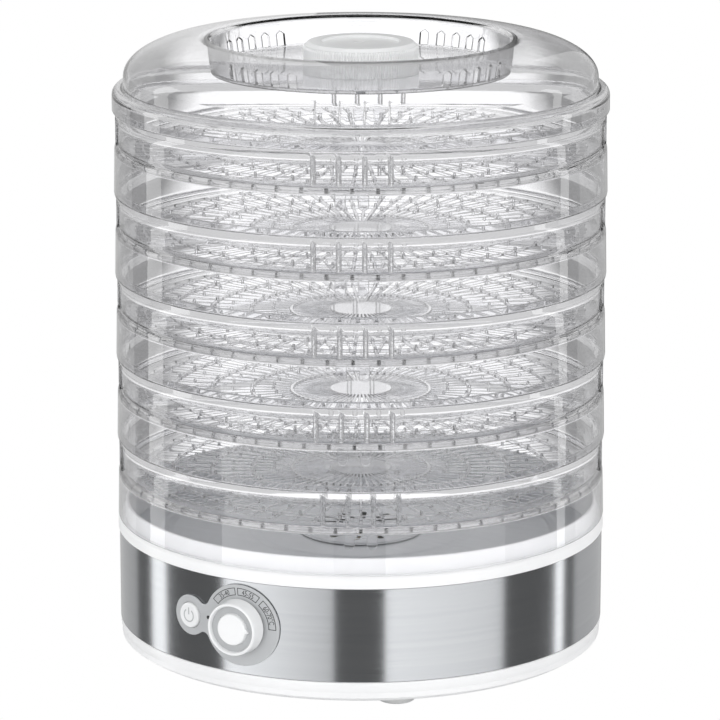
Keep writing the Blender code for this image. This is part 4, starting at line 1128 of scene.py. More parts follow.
@dataclass
class ControlPanel:
    """Bezel on the band, temperature dial with its printed scale, and the power button."""

    joints: dict[str, dict]
    bezel_sheet: float = 0.0012
    dial_border: float = 0.0089
    button_border: float = 0.0048
    neck: float = 0.0045
    bend: float = 0.0016
    ink: float = 0.00006
    scale_inner: float = 0.0195
    scale_outer: float = 0.0244
    line: float = 0.00042
    figure_height: float = 0.0033
    figure_narrow: float = 0.78
    dot_radius: float = 0.0012
    dot_circle: float = 0.0238
    dial_lip: float = 0.0022
    dial_recess: float = 0.0030
    dial_disc: float = 0.0104
    dial_boss: float = 0.0053
    pointer: float = 0.0101
    button_radius: float = 0.0082
    button_collar: float = 0.0012
    symbol: tuple[float, float] = (0.0036, 0.0044)
    symbol_relief: float = 0.00018
    marks: tuple[ScaleMark, ...] = (ScaleMark("35-40", -54.0, -8.0),
                                    ScaleMark("45-55", -4.0, 35.0),
                                    ScaleMark("60-70°C", 41.0, 91.0))
    dot_clock: float = -87.0

    def __post_init__(self) -> None:
        """Read where the dial and the button are from the frame."""
        position = Vector(self.joints["temperature_turn"]["pos_m"])
        self.height = position.z
        self.band = math.hypot(position.x, position.y)
        self.dial_x = position.x
        inward = Vector(self.joints["power_press"]["axis"])
        self.button_azimuth = math.degrees(math.atan2(-inward.x, inward.y))
        self.dial_azimuth = math.degrees(math.atan2(position.x, -position.y))
        self.button_x = self.band * math.sin(math.radians(self.button_azimuth))
        low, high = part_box("thermostat_knob")
        self.dial_radius = (high.z - low.z) / 2
        self.face = self.band + TOUCH_GAP + self.bezel_sheet

    def on_band(self, bm: bmesh.types.BMesh, radius: float) -> bmesh.types.BMesh:
        """Bend a flat piece round the band.

        Args:
            bm: The flat piece: X runs round the band from the panel's middle, Y up from
                the controls' height and Z outwards.
            radius: The radius that its Z of 0 comes to.

        Returns:
            The same mesh, bent.
        """
        last = int(max(abs(vert.co.x) for vert in bm.verts) / self.bend)
        for step in range(-last, last + 1):
            bmesh.ops.bisect_plane(bm, geom=bm.verts[:] + bm.edges[:] + bm.faces[:], dist=1e-8,
                                   plane_co=(step * self.bend, 0, 0), plane_no=(1, 0, 0))
        for vert in bm.verts:
            angle = math.asin(vert.co.x / self.band)
            out = radius + vert.co.z
            vert.co = (out * math.sin(angle), -out * math.cos(angle), self.height + vert.co.y)
        return bm

    def keyhole(self) -> list[tuple[float, float]]:
        """Outline of the bezel: a circle round each control, joined by concave fillets."""
        dial = self.dial_radius + self.dial_border
        button = self.button_radius + self.button_border
        span = self.dial_x - self.button_x
        to_dial = dial + self.neck
        to_button = button + self.neck
        across = (to_dial ** 2 - to_button ** 2 + span ** 2) / (2 * span)
        rise = math.sqrt(to_dial ** 2 - across ** 2)
        dial_turn = math.degrees(math.atan2(rise, across))
        button_turn = math.degrees(math.atan2(rise, span - across))
        x = self.dial_x - across
        outline = arc((self.dial_x, 0), (dial, dial), dial_turn - 180, 180 - dial_turn, 72)
        outline += arc((x, rise), (self.neck,) * 2, -dial_turn, button_turn - 180, 8)[1:]
        outline += arc((self.button_x, 0), (button,) * 2, button_turn, 360 - button_turn, 40)[1:]
        outline += arc((x, -rise), (self.neck,) * 2, 180 - button_turn, dial_turn, 8)[1:-1]
        return outline

    def bezel(self) -> None:
        """Silver-painted bezel with a rounded edge, bored for the dial and the button."""
        panel = softened(plate(self.keyhole(), self.bezel_sheet), 0.0004, 2)
        bores = [rod(radius, CUT_THROUGH, Matrix.Translation((x, 0, 0)), steps=steps)
                 for radius, x, steps in (
                     (SHAFT_BORE, self.dial_x, 32),
                     (self.button_radius + TOUCH_GAP, self.button_x, SMALL_STEPS))]
        panel = worked(panel, bores, Operation.CUT)
        add_piece("control_bezel_moulding", self.on_band(panel, self.band + TOUCH_GAP),
                  SILVER_ABS, "base", ("control_bezel",))

    def round_dial(self, bm: bmesh.types.BMesh, clock: float, radius: float) -> bmesh.types.BMesh:
        """Bend a flat print round the dial: its X runs clockwise, its Y away from the dial."""
        for vert in bm.verts:
            angle = math.radians(clock) + vert.co.x / radius
            reach = radius + vert.co.y
            vert.co = (self.dial_x + reach * math.sin(angle), reach * math.cos(angle), vert.co.z)
        return bm

    def scale_box(self, mark: ScaleMark) -> bmesh.types.BMesh:
        """Thin printed frame round one range of the scale."""
        ends = (90.0 - mark.start, 90.0 - mark.end)
        steps = max(8, int(abs(mark.end - mark.start) / 3))
        outer = arc((self.dial_x, 0), (self.scale_outer,) * 2, *ends, steps)
        inner = arc((self.dial_x, 0), (self.scale_inner,) * 2, *reversed(ends), steps)
        bm = bmesh.new()
        face = bm.faces.new([bm.verts.new((x, y, 0.0)) for x, y in outer + inner])
        bm.normal_update()
        bmesh.ops.inset_individual(bm, faces=[face], thickness=self.line, use_even_offset=True)
        bmesh.ops.delete(bm, geom=[face], context="FACES_ONLY")
        return thickened(bm, self.ink)

    def numerals(self, text: str) -> bmesh.types.BMesh:
        """Flat figures centred on the origin, with the thickness of the print."""
        curve = bpy.data.curves.new("numerals", "FONT")
        curve.body = text
        # A figure of Blender's own typeface is 0.70 of its size high.
        curve.size = self.figure_height / 0.70
        curve.align_x = "CENTER"
        curve.resolution_u = 3
        bm = taken(in_scene("numerals", curve))
        bpy.data.curves.remove(curve)
        bmesh.ops.remove_doubles(bm, verts=bm.verts, dist=SAME_POINT)
        place = Matrix.Diagonal((self.figure_narrow, 1.0, 1.0, 1.0))
        moved(bm, Matrix.Translation((0.0, -self.figure_height / 2, 0.0)) @ place)
        return thickened(bm, self.ink)

    def scale(self) -> None:
        """Printed boxes, figures and the dot that marks off."""
        print_height = self.face + 0.00001
        frames = joined([self.scale_box(mark) for mark in self.marks])
        add_piece("dial_scale_frames", self.on_band(frames, print_height), PRINT_INK, "base")
        middle = (self.scale_inner + self.scale_outer) / 2
        figures = joined([self.round_dial(self.numerals(mark.text), (mark.start + mark.end) / 2,
                                          middle) for mark in self.marks])
        add_piece("dial_scale_figures", self.on_band(figures, print_height), PRINT_INK, "base")
        angle = math.radians(self.dot_clock)
        dot = rod(self.dot_radius, 2 * self.ink, Matrix.Translation(
            (self.dial_x + self.dot_circle * math.sin(angle), self.dot_circle * math.cos(angle),
             self.ink)), steps=BORE_STEPS)
        add_piece("dial_off_dot", self.on_band(dot, print_height), PRINT_INK, "base")

    def dial(self) -> None:
        """White dial: tapering skirt, rounded lip, recessed face under a thin grey sheet of
        painted shade, and a centre disc.
        """
        place = facing_out(self.dial_azimuth, self.band, self.height)
        angle = math.radians(self.dial_azimuth)
        lip = self.dial_radius - 0.0007
        # The tilted rim's foremost point stays just behind the front of the frame's dial.
        reach = -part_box("thermostat_knob")[0].y
        front = (reach - lip * math.sin(angle)) / math.cos(angle) - self.band - 0.0002
        base = self.face - self.band + 0.0011
        recess = front - self.dial_recess
        under = recess - 0.0018
        well = lip - self.dial_lip
        boss = self.dial_boss
        disc = self.dial_disc
        body = turned([
            (0.0, recess + 0.0024, 0.0), (disc - 0.0005, recess + 0.0024, 0.0010),
            (disc, recess, 0.0002), (well, recess, 0.0004),
            (well + 0.0004, front - 0.0006, 0.0006), (lip - 0.0009, front, 0.0006),
            (lip, front - 0.0010, 0.0006),
            (self.dial_radius - 0.0001, base + 0.0012, 0.0006), (self.dial_radius, base, 0.0002),
            (self.dial_radius - 0.0018, base, 0.0002), (well, under, 0.0006), (boss, under, 0.0),
            (boss, base + 0.0010, 0.0), (SHAFT_BORE, base + 0.0010, 0.0),
            (SHAFT_BORE, under - 0.0010, 0.0), (0.0, under - 0.0010, 0.0)], 96)
        pointer = rod(0.0026, 0.0022, Matrix.Translation((self.pointer, 0.0, recess + 0.0009)),
                      0.0003, 3, 0.85)
        body = worked(body, [pointer], Operation.WELD)
        add_piece("temperature_dial_moulding", moved(body, place), BUTTON_ABS,
                  "temperature_dial", ("thermostat_knob",))
        # Thin grey sheet on the recess floor: painted shade of the recess.
        inner, outer, low, high = disc + 0.0002, well - 0.0001, recess + 0.00005, recess + 0.0003
        face = turned([(inner, high, 0.0001), (outer, high, 0.0001), (outer, low, 0.0),
                       (inner, low, 0.0)], 96)
        notch = rod(0.0029, 0.004, Matrix.Translation((self.pointer, 0.0, recess)), 0.0, 3)
        add_piece("temperature_dial_recess_shade", moved(worked(face, [notch], Operation.CUT), place),
                  RECESS_SHADE_AND_SYMBOL_GREY, "temperature_dial")

    def button(self) -> None:
        """White push button with a soft edge and a raised power symbol."""
        face = self.face - self.band + 0.0016
        place = facing_out(self.button_azimuth, self.band, self.height)
        radius, flange = self.button_radius, self.button_radius + self.button_collar
        body = turned([
            (0.0, face - 0.0002, 0.0), (0.0060, face - 0.0001, 0.0012), (0.0075, face, 0.0008),
            (radius, face - 0.0009, 0.0006), (radius, -0.0042, 0.0), (flange, -0.0042, 0.0),
            (flange, -0.0054, 0.0), (0.0, -0.0054, 0.0)], SMALL_STEPS)
        add_piece("power_button_cap", moved(body, place), BUTTON_ABS, "power_button",
                  ("power_button",))
        inner, outer = self.symbol
        ring = arc((0, 0), (outer,) * 2, 125, 415, 28) + arc((0, 0), (inner,) * 2, 415, 125, 28)
        half = (outer - inner) / 2
        bar = [(-half, 0.0006), (half, 0.0006), (half, 0.0052), (-half, 0.0052)]
        symbol = joined([plate(outline, self.symbol_relief) for outline in (ring, bar)])
        lift = Matrix.Translation((0.0, 0.0, face - 0.00022))
        add_piece("power_symbol", moved(symbol, place @ lift), RECESS_SHADE_AND_SYMBOL_GREY, "power_button")

    def build(self) -> None:
        """Build every piece of the control panel."""
        self.bezel()
        self.scale()
        self.dial()
        self.button()


# ---------------------------------------------------------------------------
# Trays, lid and vent
# ---------------------------------------------------------------------------


@dataclass
class Tray:
    """One clear stacking tray; the others are copies of its mesh."""

    wall: float = 0.0018
    floor: float = 0.0020
    skirt_drop: float = 0.0290
    neck_inset: float = 0.0027
    flare: float = 0.0062
    seat: float = 0.0242
    lip: float = 0.0041
    lip_inset: float = 0.0024
    rim_inner: float = 0.1500
    spokes: int = 60
    spoke_width: float = 0.0019
    hub: float = 0.0050
    disc: float = 0.0200
    rings: tuple[tuple[float, float], ...] = (
        (0.0440, 0.0462), (0.0700, 0.0722), (0.0960, 0.0982), (0.1220, 0.1242),
        (0.1395, 0.1412))
    rim: float = 0.1462
    peg_circles: tuple[float, ...] = (0.0570, 0.0710, 0.0840, 0.0970, 0.1100, 0.1230, 0.1340)
    rib_radius: float = 0.0017
    rib_spacing: float = 5.8
    rib_foot: float = 0.0018
    ribs: int = 4
    tongue_azimuth: float = 2.6
    tongue_radius: float = 0.0034
    tongue_sheet: float = 0.0018
    groups: int = 4
    step: float = 0.0006
    underside: float = -0.0022
    peg: tuple[float, float] = (0.0013, 0.0026)

    def ring(self, skirt: float) -> bmesh.types.BMesh:
        """Wall of the tray, turned: skirt, step, neck, flare and centring lip.

        Args:
            skirt: Radius of the skirt's outside.

        Returns:
            The wall, with the floor's level at height 0.
        """
        neck = skirt - self.neck_inset
        inner = neck - self.wall
        lip = skirt - self.lip_inset
        lip_top = self.seat + self.lip
        flare = self.seat - self.flare
        bottom = -self.skirt_drop
        return turned([
            (self.rim_inner, 0.0, 0.0003), (inner, 0.0, 0.0012), (inner, flare, 0.0030),
            (lip - self.wall, lip_top, 0.0005), (lip, lip_top, 0.0007), (lip, self.seat, 0.0003),
            (skirt, self.seat, 0.0005), (neck, flare, 0.0030), (neck, 0.0036, 0.0014),
            (skirt - self.step, 0.0004, 0.0010), (skirt, bottom, 0.0005),
            (skirt - self.wall, bottom, 0.0005),
            (skirt - self.step - self.wall, self.underside, 0.0012),
            (self.rim_inner, self.underside, 0.0003)])

    def grid(self) -> bmesh.types.BMesh:
        """Open floor: a centre disc, rings and radial bars, made as one sector and spun."""
        levels = [self.hub, self.disc]
        for pair in self.rings:
            levels += pair
        levels += [self.rim, self.rim_inner + 0.0004]
        solid = [True] + [False, True] * (len(self.rings) + 1)
        half = math.pi / self.spokes
        bm = bmesh.new()
        rows = len(levels) - 1
        bmesh.ops.create_grid(bm, x_segments=3, y_segments=rows, size=0.5)
        holes = []
        for face in bm.faces:
            middle = face.calc_center_median()
            row = int((middle.y + 0.5) * rows)
            if abs(middle.x) > 0.2 and not solid[row]:
                holes.append(face)
        for vert in bm.verts:
            radius = levels[round((vert.co.y + 0.5) * rows)]
            bar = min(math.asin(self.spoke_width / 2 / radius), 0.8 * half)
            angle = math.copysign(half if abs(vert.co.x) > 0.3 else bar, vert.co.x)
            vert.co = (radius * math.cos(angle), radius * math.sin(angle), 0.0)
        bmesh.ops.delete(bm, geom=holes, context="FACES")
        bmesh.ops.spin(bm, geom=bm.verts[:] + bm.edges[:] + bm.faces[:], cent=(0, 0, 0),
                       axis=(0, 0, 1), dvec=(0, 0, 0),
                       angle=math.tau * (self.spokes - 1) / self.spokes,
                       steps=self.spokes - 1, use_merge=False, use_normal_flip=False,
                       use_duplicate=True)
        bmesh.ops.remove_doubles(bm, verts=bm.verts, dist=0.00001)
        hub = [edge for edge in bm.edges if edge.is_boundary
               and max(vert.co.length for vert in edge.verts) < self.hub + 0.0002]
        bmesh.ops.contextual_create(bm, geom=hub)
        bmesh.ops.recalc_face_normals(bm, faces=bm.faces)
        if sum(face.normal.z for face in bm.faces) < 0:
            bmesh.ops.reverse_faces(bm, faces=bm.faces)
        bm = softened(thickened(bm, -self.floor), 0.0004, 1, 1.2)
        return moved(bm, Matrix.Translation((0, 0, -TOUCH_GAP / 2)))

    def pegs(self) -> list[bmesh.types.BMesh]:
        """Small studs that keep the food off the bars, staggered from circle to circle."""
        studs = []
        for row, radius in enumerate(self.peg_circles):
            for index in range(row % 2, self.spokes, 2):
                place = at_azimuth(360.0 * index / self.spokes, radius, 0.0006)
                studs.append(rod(*self.peg, place, 0.0, 6, 0.6))
        return studs

    def mesh(self, skirt: float) -> bmesh.types.BMesh:
        """Whole tray at the origin, with its floor's level at height 0.

        Args:
            skirt: Radius of the skirt's outside.

        Returns:
            A closed mesh.
        """
        neck = skirt - self.neck_inset
        length = self.seat - 0.0004 - self.rib_foot
        ribs = []
        tongues = []
        for group in range(self.groups):
            middle = 360.0 * group / self.groups
            for rib in range(self.ribs):
                azimuth = middle + (rib - (self.ribs - 1) / 2) * self.rib_spacing
                ribs.append(rod(self.rib_radius, length,
                                at_azimuth(azimuth, neck - 0.0001, self.rib_foot + length / 2),
                                self.rib_radius * 0.95, 16))
            tongues.append(block((0.0014, 0.0140, 0.0040),
                                 at_azimuth(middle, neck - 0.0014, -0.0038), 0.0004, 1))
            for side in (-1, 1):
                place = at_azimuth(middle + side * self.tongue_azimuth, neck - 0.0022, -0.0065)
                tongues.append(self.tongue(place))
        whole = worked(self.ring(skirt), ribs, Operation.WELD)
        for tongue in tongues:
            whole = worked(whole, [tongue], Operation.WELD)
        floor = worked(self.grid(), self.pegs(), Operation.WELD)
        return worked(whole, [floor], Operation.WELD)

    def tongue(self, place: Matrix) -> bmesh.types.BMesh:
        """Round-ended plate that hangs inside the skirt and steadies the tray below."""
        radius = self.tongue_radius
        outline = arc((0.0, -0.0028), (radius,) * 2, 180, 360, 12)
        outline += [(radius, 0.0055), (-radius, 0.0055)]
        upright = Matrix(((0, 0, 1, 0), (1, 0, 0, 0), (0, 1, 0, 0), (0, 0, 0, 1)))
        return moved(softened(plate(outline, self.tongue_sheet), 0.0005, 2), place @ upright)


@dataclass
class TrayStack:
    """Five trays, each turned a little from the next as they were stacked."""

    # Azimuth of a group of ribs, from the top tray to the lowest.
    turns: tuple[float, ...] = (33.2, 33.2, 33.4, 33.7, 35.2)

    def build(self) -> None:
        """Place a copy of the tray at each of the frame's trays."""
        tray = Tray()
        pattern = bpy.data.meshes.new("tray_pattern")
        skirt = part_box("tray_1")[1].x
        moulding = tray.mesh(skirt)
        moulding.to_mesh(pattern)
        moulding.free()
        for number, turn in enumerate(self.turns, 1):
            name = f"tray_{number}"
            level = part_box(name)[0].z + tray.skirt_drop
            bm = bmesh.new()
            bm.from_mesh(pattern)
            place = Matrix.Translation((0, 0, level)) @ Matrix.Rotation(
                math.radians(turn), 4, "Z")
            add_piece(f"{name}_moulding", moved(bm, place), CLEAR_PS, name, (name,))
        bpy.data.meshes.remove(pattern)


@dataclass
class Lid:
    """Clear domed lid with a well, the well's air slots and inner ribs."""

    wall: float = 0.0020
    flange_height: float = 0.0146
    flange_round: float = 0.0050
    dome_inset: float = 0.0074
    dome_straight: float = 0.0066
    dome_run: float = 0.0520
    crown_flat: float = 0.0040
    well_taper: float = 0.0030
    well_depth: float = 0.0186
    slot_groups: int = 4
    slots: int = 5
    slot_spacing: float = 7.5
    slot_azimuth: float = -6.0
    slot_size: tuple[float, float, float] = (0.0062, 0.0078, 0.0022)
    ribs: int = 4
    rib_azimuth: float = 33.2
    rib_spacing: float = 5.8
    rib_size: tuple[float, float, float] = (0.0024, 0.0010, 0.0150)

    def build(self) -> None:
        """Turn the lid, weld its ribs and cut its openings."""
        low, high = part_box("lid")
        edge, bottom, top = high.x, low.z, high.z
        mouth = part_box("tray_1")[1].x - 0.0018
        dome = edge - self.dome_inset
        crown = dome - self.dome_run
        well = crown - self.crown_flat
        well_floor = top - self.well_depth
        well_wall = well - self.well_taper
        flange_top = bottom + self.flange_height
        foot = flange_top + self.dome_straight
        rise = top - foot
        wall = self.wall
        corners = [(SHAFT_BORE, well_floor, 0.0), (well_wall, well_floor, 0.0012),
                   (well, top - 0.0010, 0.0008), (well + 0.0012, top, 0.0006)]
        corners += smooth(arc((crown, foot), (self.dome_run, rise), 90, 0, 20))
        corners += [(dome, flange_top, 0.0008)]
        corners += smooth(arc((edge - self.flange_round, flange_top - self.flange_round),
                              (self.flange_round,) * 2, 80, 0, 6))
        corners += [(edge, bottom, 0.0005), (mouth, bottom, 0.0005),
                    (mouth, flange_top - 0.0045, 0.0015),
                    (dome - wall, flange_top - wall, 0.0012)]
        corners += smooth(arc((crown, foot), (self.dome_run - wall, rise - wall), 0, 90, 20))
        corners += [(well + wall, top - wall - 0.0006, 0.0008),
                    (well_wall + wall, well_floor - wall, 0.0010),
                    (SHAFT_BORE, well_floor - wall, 0.0)]
        ribs = [block(self.rib_size, at_azimuth(
            self.rib_azimuth + (rib - (self.ribs - 1) / 2) * self.rib_spacing,
            dome - wall - 0.0010, foot + 0.0005), 0.0003, 1) for rib in range(self.ribs)]
        body = worked(turned(corners), ribs, Operation.WELD)
        body = worked(body, self.cutters(well_wall, well_floor), Operation.CUT)
        add_piece("lid_moulding", body, CLEAR_PS, "lid", ("lid",))

    def cutters(self, radius: float, height: float) -> list[bmesh.types.BMesh]:
        """Pointed slots round the well, and the ports under the knob.

        Args:
            radius: Radius of the well's wall at its floor.
            height: Level of the well's floor.

        Returns:
            The cutters.
        """
        width, straight, peak = self.slot_size
        half = width / 2
        gable = [(-half, 0.0), (half, 0.0), (half, straight), (0.0, straight + peak),
                 (-half, straight)]
        tools = []
        for group in range(self.slot_groups):
            for slot in range(self.slots):
                azimuth = self.slot_azimuth + 360.0 * group / self.slot_groups
                azimuth += (slot - (self.slots - 1) / 2) * self.slot_spacing
                cutter = moved(plate(gable, 0.014), Matrix.Translation((0.0, 0.0, -0.006)))
                tools.append(moved(cutter, facing_out(azimuth, radius, height + 0.0004)))
        return tools + vent_ports(height)


def vent_ports(height: float) -> list[bmesh.types.BMesh]:
    """Cutters of the four ports that the lid's well and the vent's shutter share."""
    inner, margin = 0.0120, 0.0030
    return ring_of_slots(4, (inner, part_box("vent_shutter")[1].x - margin), inner, height)


@dataclass
class RotaryVent:
    """Knurled milky knob in the lid's well, its shutter and the pivot through both."""

    wall: float = 0.0020
    dish_radius: float = 0.0253
    dish_depth: float = 0.0015
    knurls: int = 120
    knurl_depth: float = 0.0006
    boss: float = 0.0063
    pin: float = 0.0030
    pin_head: float = 0.0060

    def knob(self) -> None:
        """Turned cap with a dished top, whose side is knurled by drawing in every other column."""
        low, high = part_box("vent_knob")
        radius, bottom, top = high.x, low.z, high.z
        dish = top - self.dish_depth
        roof = dish - self.wall
        inside = radius - self.wall
        foot = bottom + 0.0015
        cap = turned([
            (0.0, dish, 0.0), (self.dish_radius - 0.0006, dish, 0.0002),
            (self.dish_radius, top - 0.0001, 0.0003), (self.dish_radius + 0.0006, top, 0.0003),
            (radius - 0.0034, top, 0.0006), (radius - 0.0006, top - 0.0026, 0.0006),
            (radius, top - 0.0040, 0.0002), (radius, bottom, 0.0002),
            (inside, bottom, 0.0002), (inside - 0.0004, roof, 0.0006),
            (self.boss, roof, 0.0), (self.boss, foot, 0.0), (SHAFT_BORE, foot, 0.0),
            (SHAFT_BORE, roof - 0.0010, 0.0), (0.0, roof - 0.0010, 0.0)], 2 * self.knurls)
        column = math.tau / (2 * self.knurls)
        for vert in cap.verts:
            reach = math.hypot(vert.co.x, vert.co.y)
            turn = round(math.atan2(vert.co.y, vert.co.x) / column)
            if reach > radius - 0.0010 and turn % 2:
                vert.co.xy *= (reach - self.knurl_depth) / reach
        add_piece("vent_knob_moulding", cap, MILKY_PS, "rotary_vent", ("vent_knob",))

    def shutter(self) -> None:
        """Milky disc whose ports line up with those in the lid."""
        low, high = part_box("vent_shutter")
        disc = turned([(SHAFT_BORE, high.z, 0.0002), (high.x, high.z, 0.0003),
                       (high.x, low.z, 0.0003), (SHAFT_BORE, low.z, 0.0002)], 96)
        add_piece("vent_shutter_disc", worked(disc, vent_ports(low.z), Operation.CUT), MILKY_PS,
                  "rotary_vent", ("vent_shutter",))

    def pivot(self) -> None:
        """Plated pin with a rounded head under the lid's well."""
        low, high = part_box("vent_pivot")
        head = low.z + 0.0016
        pin = turned([(0.0, high.z, 0.0), (self.pin, high.z, 0.0004), (self.pin, head, 0.0002),
                      (self.pin_head, head, 0.0003), (self.pin_head - 0.0006, low.z, 0.0008),
                      (0.0, low.z, 0.0)], 48)
        add_piece("vent_pivot_pin", pin, ZINC_STEEL, "lid", ("vent_pivot",))

    def build(self) -> None:
        """Build the knob, the shutter and the pivot."""
        self.knob()
        self.shutter()
        self.pivot()


# ---------------------------------------------------------------------------
# Studio
# ---------------------------------------------------------------------------


@dataclass(frozen=True)
class SoftBox:
    """A rectangular studio light that faces the foot of the object's axis."""

    name: str
    azimuth: float
    distance: float
    height: float
    width: float
    tall: float
    radiance: float
    fade: float

    def build(self) -> None:
        """Hang the light and aim it at the origin."""
        lamp = bpy.data.lights.new(self.name, "AREA")
        lamp.shape = "RECTANGLE"
        lamp.size = self.width
        lamp.size_y = self.tall
        lamp.energy = self.radiance * math.pi * self.width * self.tall
        lamp.use_nodes = True
        tree = lamp.node_tree
        tree.nodes.clear()
        sheet = add_node(tree, "NewGeometry").outputs["Parametric"]
        across = add_node(tree, "SeparateXYZ", inputs={"Vector": sheet}).outputs["X"]
        ramp = add_node(tree, "MapRange", inputs={
            "Value": across, "To Min": 1.0, "To Max": self.fade})
        glow = add_node(tree, "Emission", inputs={"Strength": ramp.outputs["Result"]})
        add_node(tree, "OutputLight", inputs={"Surface": glow.outputs["Emission"]})
        light = in_scene(self.name, lamp)
        angle = math.radians(self.azimuth)
        light.location = (self.distance * math.sin(angle), -self.distance * math.cos(angle),
                          self.height)
        light.rotation_euler = (-light.location).to_track_quat("-Z", "Y").to_euler()
        light.visible_camera = False
        light.visible_transmission = False


@dataclass
class Studio:
    """White floor, bright surroundings, soft boxes and the camera."""

    camera_place: tuple[float, float, float] = (1.442, -2.045, 0.790)
    camera_turn: tuple[float, float, float] = (76.5034, 0.0, 35.2)
    lens: float = 196.87
    # Brightness that matt surfaces meet, outside and behind clear walls.
    fill: float = 0.62
    interior: float = 2.35
    # Brightness of the surroundings in level reflections.
    reflected: float = 0.16
    # Brightness seen through clear walls: behind the object, in front of it, and at its sides.
    field: float = 1.24
    surround: float = 0.68
    flank: float = 0.32
    # Where the field fades out: slope from the camera's axis, and distance along that axis.
    flank_slope: tuple[float, float] = (0.046, 0.058)
    field_depth: tuple[float, float] = (-0.60, 0.10)
    # Downward slopes between which reflections change from the fill to the level brightness.
    steep: tuple[float, float] = (-0.85, -0.50)
    floor_reach: float = 6.0
    boxes: tuple[SoftBox, ...] = (
        SoftBox("left_window", -3.3, 1.6, 0.0, 1.60, 2.6, 1.75, 0.45),
        SoftBox("right_window", 74.7, 1.6, 0.0, 1.75, 2.6, 1.45, 0.70),
        SoftBox("left_strip", -71.5, 1.6, 0.0, 0.34, 2.4, 1.8, 1.0),
        SoftBox("right_strip", 139.2, 1.6, 0.0, 0.18, 2.4, 2.1, 1.0),
        SoftBox("left_wing", -118.0, 1.6, 0.0, 1.5, 2.4, 0.50, 0.8),
        SoftBox("right_wing", 176.0, 1.6, 0.0, 1.4, 2.4, 0.50, 0.8),
        SoftBox("overhead", 35.0, 0.4, 1.9, 1.2, 1.2, 1.0, 1.0))

    def floor(self) -> None:
        """White floor, a bright field behind clear pieces, left out of reflections."""
        bm = bmesh.new()
        bmesh.ops.create_grid(bm, x_segments=1, y_segments=1, size=self.floor_reach,
                              matrix=Matrix.Translation((0.0, 0.0, -TOUCH_GAP)))
        mesh = bpy.data.meshes.new("studio_floor")
        bm.to_mesh(mesh)
        bm.free()
        material = bpy.data.materials.new("studio_floor")
        material.use_nodes = True
        tree = material.node_tree
        tree.nodes.clear()
        rays = add_node(tree, "LightPath")
        place = add_node(tree, "TexCoord").outputs["Object"]
        turn = (0.0, 0.0, -math.radians(self.camera_turn[2]))
        along = add_node(tree, "Mapping", inputs={"Vector": place, "Rotation": turn})
        axes = add_node(tree, "SeparateXYZ", inputs={"Vector": along.outputs["Vector"]})
        across = add_node(tree, "Math", {"operation": "ABSOLUTE"}, {0: axes.outputs["X"]})
        depth = add_node(tree, "Math", {"operation": "ADD"}, {
            0: axes.outputs["Y"], 1: math.hypot(*self.camera_place[:2])})
        slant = add_node(tree, "Math", {"operation": "DIVIDE"}, {
            0: across.outputs[0], 1: depth.outputs[0]})
        sides = add_node(tree, "MapRange", inputs={
            "Value": slant.outputs[0], "From Min": self.flank_slope[0],
            "From Max": self.flank_slope[1],
            "To Min": self.field, "To Max": self.flank})
        behind = add_node(tree, "MapRange", inputs={
            "Value": axes.outputs["Y"], "From Min": self.field_depth[0],
            "From Max": self.field_depth[1],
            "To Min": self.surround, "To Max": self.field})
        field = add_node(tree, "Math", {"operation": "MINIMUM"}, {
            0: sides.outputs["Result"], 1: behind.outputs["Result"]})
        through = self.through(tree, rays, field.outputs[0])
        seen = add_node(tree, "Mix", {"data_type": "FLOAT"}, {
            0: rays.outputs["Is Camera Ray"], 2: through, 3: 1.0})
        bright = add_node(tree, "Emission", inputs={"Strength": seen.outputs[0]})
        diffuse = add_node(tree, "BsdfDiffuse", inputs={"Color": linear("f2f2f2")})
        direct = add_node(tree, "Math", {"operation": "MAXIMUM"}, {
            0: rays.outputs["Is Camera Ray"], 1: rays.outputs["Is Transmission Ray"]})
        lit = add_node(tree, "MixShader", inputs={
            0: direct.outputs[0], 1: diffuse.outputs["BSDF"], 2: bright.outputs["Emission"]})
        unseen = add_node(tree, "BsdfTransparent")
        below = add_node(tree, "NewGeometry").outputs["Backfacing"]
        open_side = add_node(tree, "Math", {"operation": "MAXIMUM"}, {
            0: self.mirrored(tree, rays), 1: below})
        mixed = add_node(tree, "MixShader", inputs={
            0: open_side.outputs[0], 1: lit.outputs[0], 2: unseen.outputs["BSDF"]})
        add_node(tree, "OutputMaterial", inputs={"Surface": mixed.outputs[0]})
        mesh.materials.append(material)
        floor = in_scene("studio_floor", mesh)

    def mirrored(self, tree: bpy.types.NodeTree, rays: bpy.types.Node) -> bpy.types.NodeSocket:
        """Tell a ray that was mirrored last from one that passed through a clear wall.

        Args:
            tree: The node tree.
            rays: Its light-path node.

        Returns:
            1 for a mirrored ray, otherwise 0.
        """
        return add_node(tree, "Math", {"operation": "SUBTRACT", "use_clamp": True}, {
            0: rays.outputs["Is Glossy Ray"], 1: rays.outputs["Is Transmission Ray"]}).outputs[0]

    def through(self, tree: bpy.types.NodeTree, rays: bpy.types.Node,
                seen: bpy.types.NodeSocket | float) -> bpy.types.NodeSocket:
        """Brightness that a ray meets after it passed through a clear wall.

        Args:
            tree: The node tree.
            rays: Its light-path node.
            seen: Brightness for the eye; a ray that lights a matt surface meets more.

        Returns:
            The brightness.
        """
        lighting = add_node(tree, "Math", {"operation": "GREATER_THAN"}, {
            0: rays.outputs["Diffuse Depth"], 1: 0.5})
        return add_node(tree, "Mix", {"data_type": "FLOAT"}, {
            0: lighting.outputs[0], 2: seen, 3: self.interior}).outputs[0]

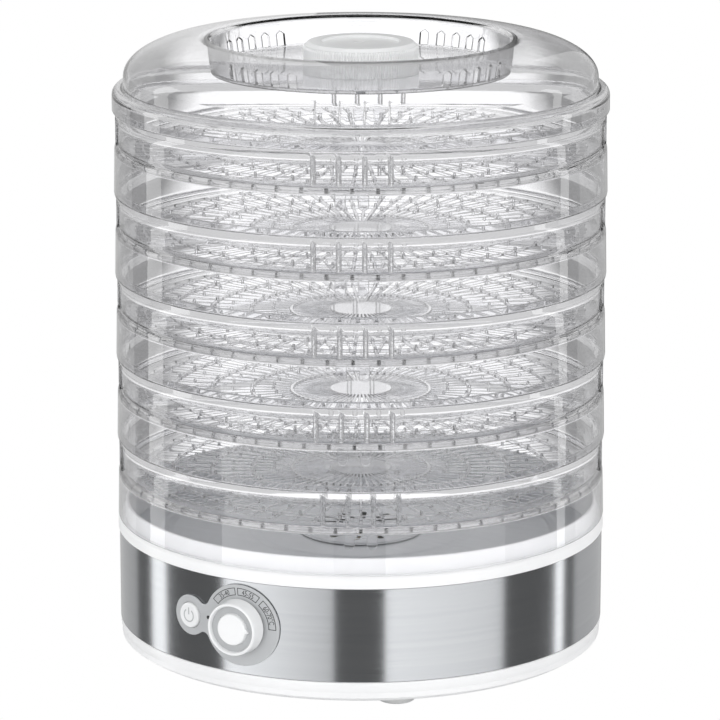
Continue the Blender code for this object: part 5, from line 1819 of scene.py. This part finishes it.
    def world(self) -> None:
        """Surroundings: white when seen, softer on matt surfaces, dim in level reflections."""
        world = bpy.data.worlds.new("studio")
        bpy.context.scene.world = world
        world.use_nodes = True
        tree = world.node_tree
        tree.nodes.clear()
        rays = add_node(tree, "LightPath")
        matt = add_node(tree, "Mix", {"data_type": "FLOAT"}, {
            0: rays.outputs["Is Diffuse Ray"], 2: self.through(tree, rays, self.surround),
            3: self.fill})
        direction = add_node(tree, "TexCoord").outputs["Generated"]
        height = add_node(tree, "SeparateXYZ", inputs={"Vector": direction}).outputs["Z"]
        low = add_node(tree, "MapRange", inputs={
            "Value": height, "From Min": self.steep[0], "From Max": self.steep[1],
            "To Min": self.fill, "To Max": self.reflected})
        unseen = add_node(tree, "Mix", {"data_type": "FLOAT"}, {
            0: self.mirrored(tree, rays), 2: matt.outputs[0], 3: low.outputs["Result"]})
        strength = add_node(tree, "Mix", {"data_type": "FLOAT"}, {
            0: rays.outputs["Is Camera Ray"], 2: unseen.outputs[0], 3: 1.0})
        glow = add_node(tree, "Background", inputs={
            "Color": linear("ffffff"), "Strength": strength.outputs[0]})
        add_node(tree, "OutputWorld", inputs={"Surface": glow.outputs["Background"]})

    def camera(self) -> None:
        """Camera at the still's viewing angle."""
        data = bpy.data.cameras.new("camera")
        data.lens = self.lens
        data.sensor_width = 36.0
        camera = in_scene("camera", data)
        camera.location = self.camera_place
        camera.rotation_euler = [math.radians(angle) for angle in self.camera_turn]
        bpy.context.scene.camera = camera

    def light_paths(self) -> None:
        """Let light through the many clear walls, and show colours as they are."""
        scene = bpy.context.scene
        scene.view_settings.view_transform = "Standard"
        scene.cycles.max_bounces = 40
        scene.cycles.transmission_bounces = 36
        scene.cycles.glossy_bounces = 12
        scene.cycles.diffuse_bounces = 3
        scene.cycles.transparent_max_bounces = 16

    def build(self) -> None:
        """Set the studio up."""
        self.camera()
        self.floor()
        self.world()
        for box in self.boxes:
            box.build()
        self.light_paths()


def main() -> None:
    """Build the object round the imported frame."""
    logging.basicConfig(level=logging.INFO, format="%(message)s")
    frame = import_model()
    joints = {joint["name"]: joint for joint in frame["joints"]}
    Studio().build()
    Housing().build()
    AirDeck().build()
    Internals(frame["nodes"]).build()
    CordGland().build()
    ControlPanel(joints).build()
    TrayStack().build()
    Lid().build()
    RotaryVent().build()


if __name__ == "__main__":
    main()
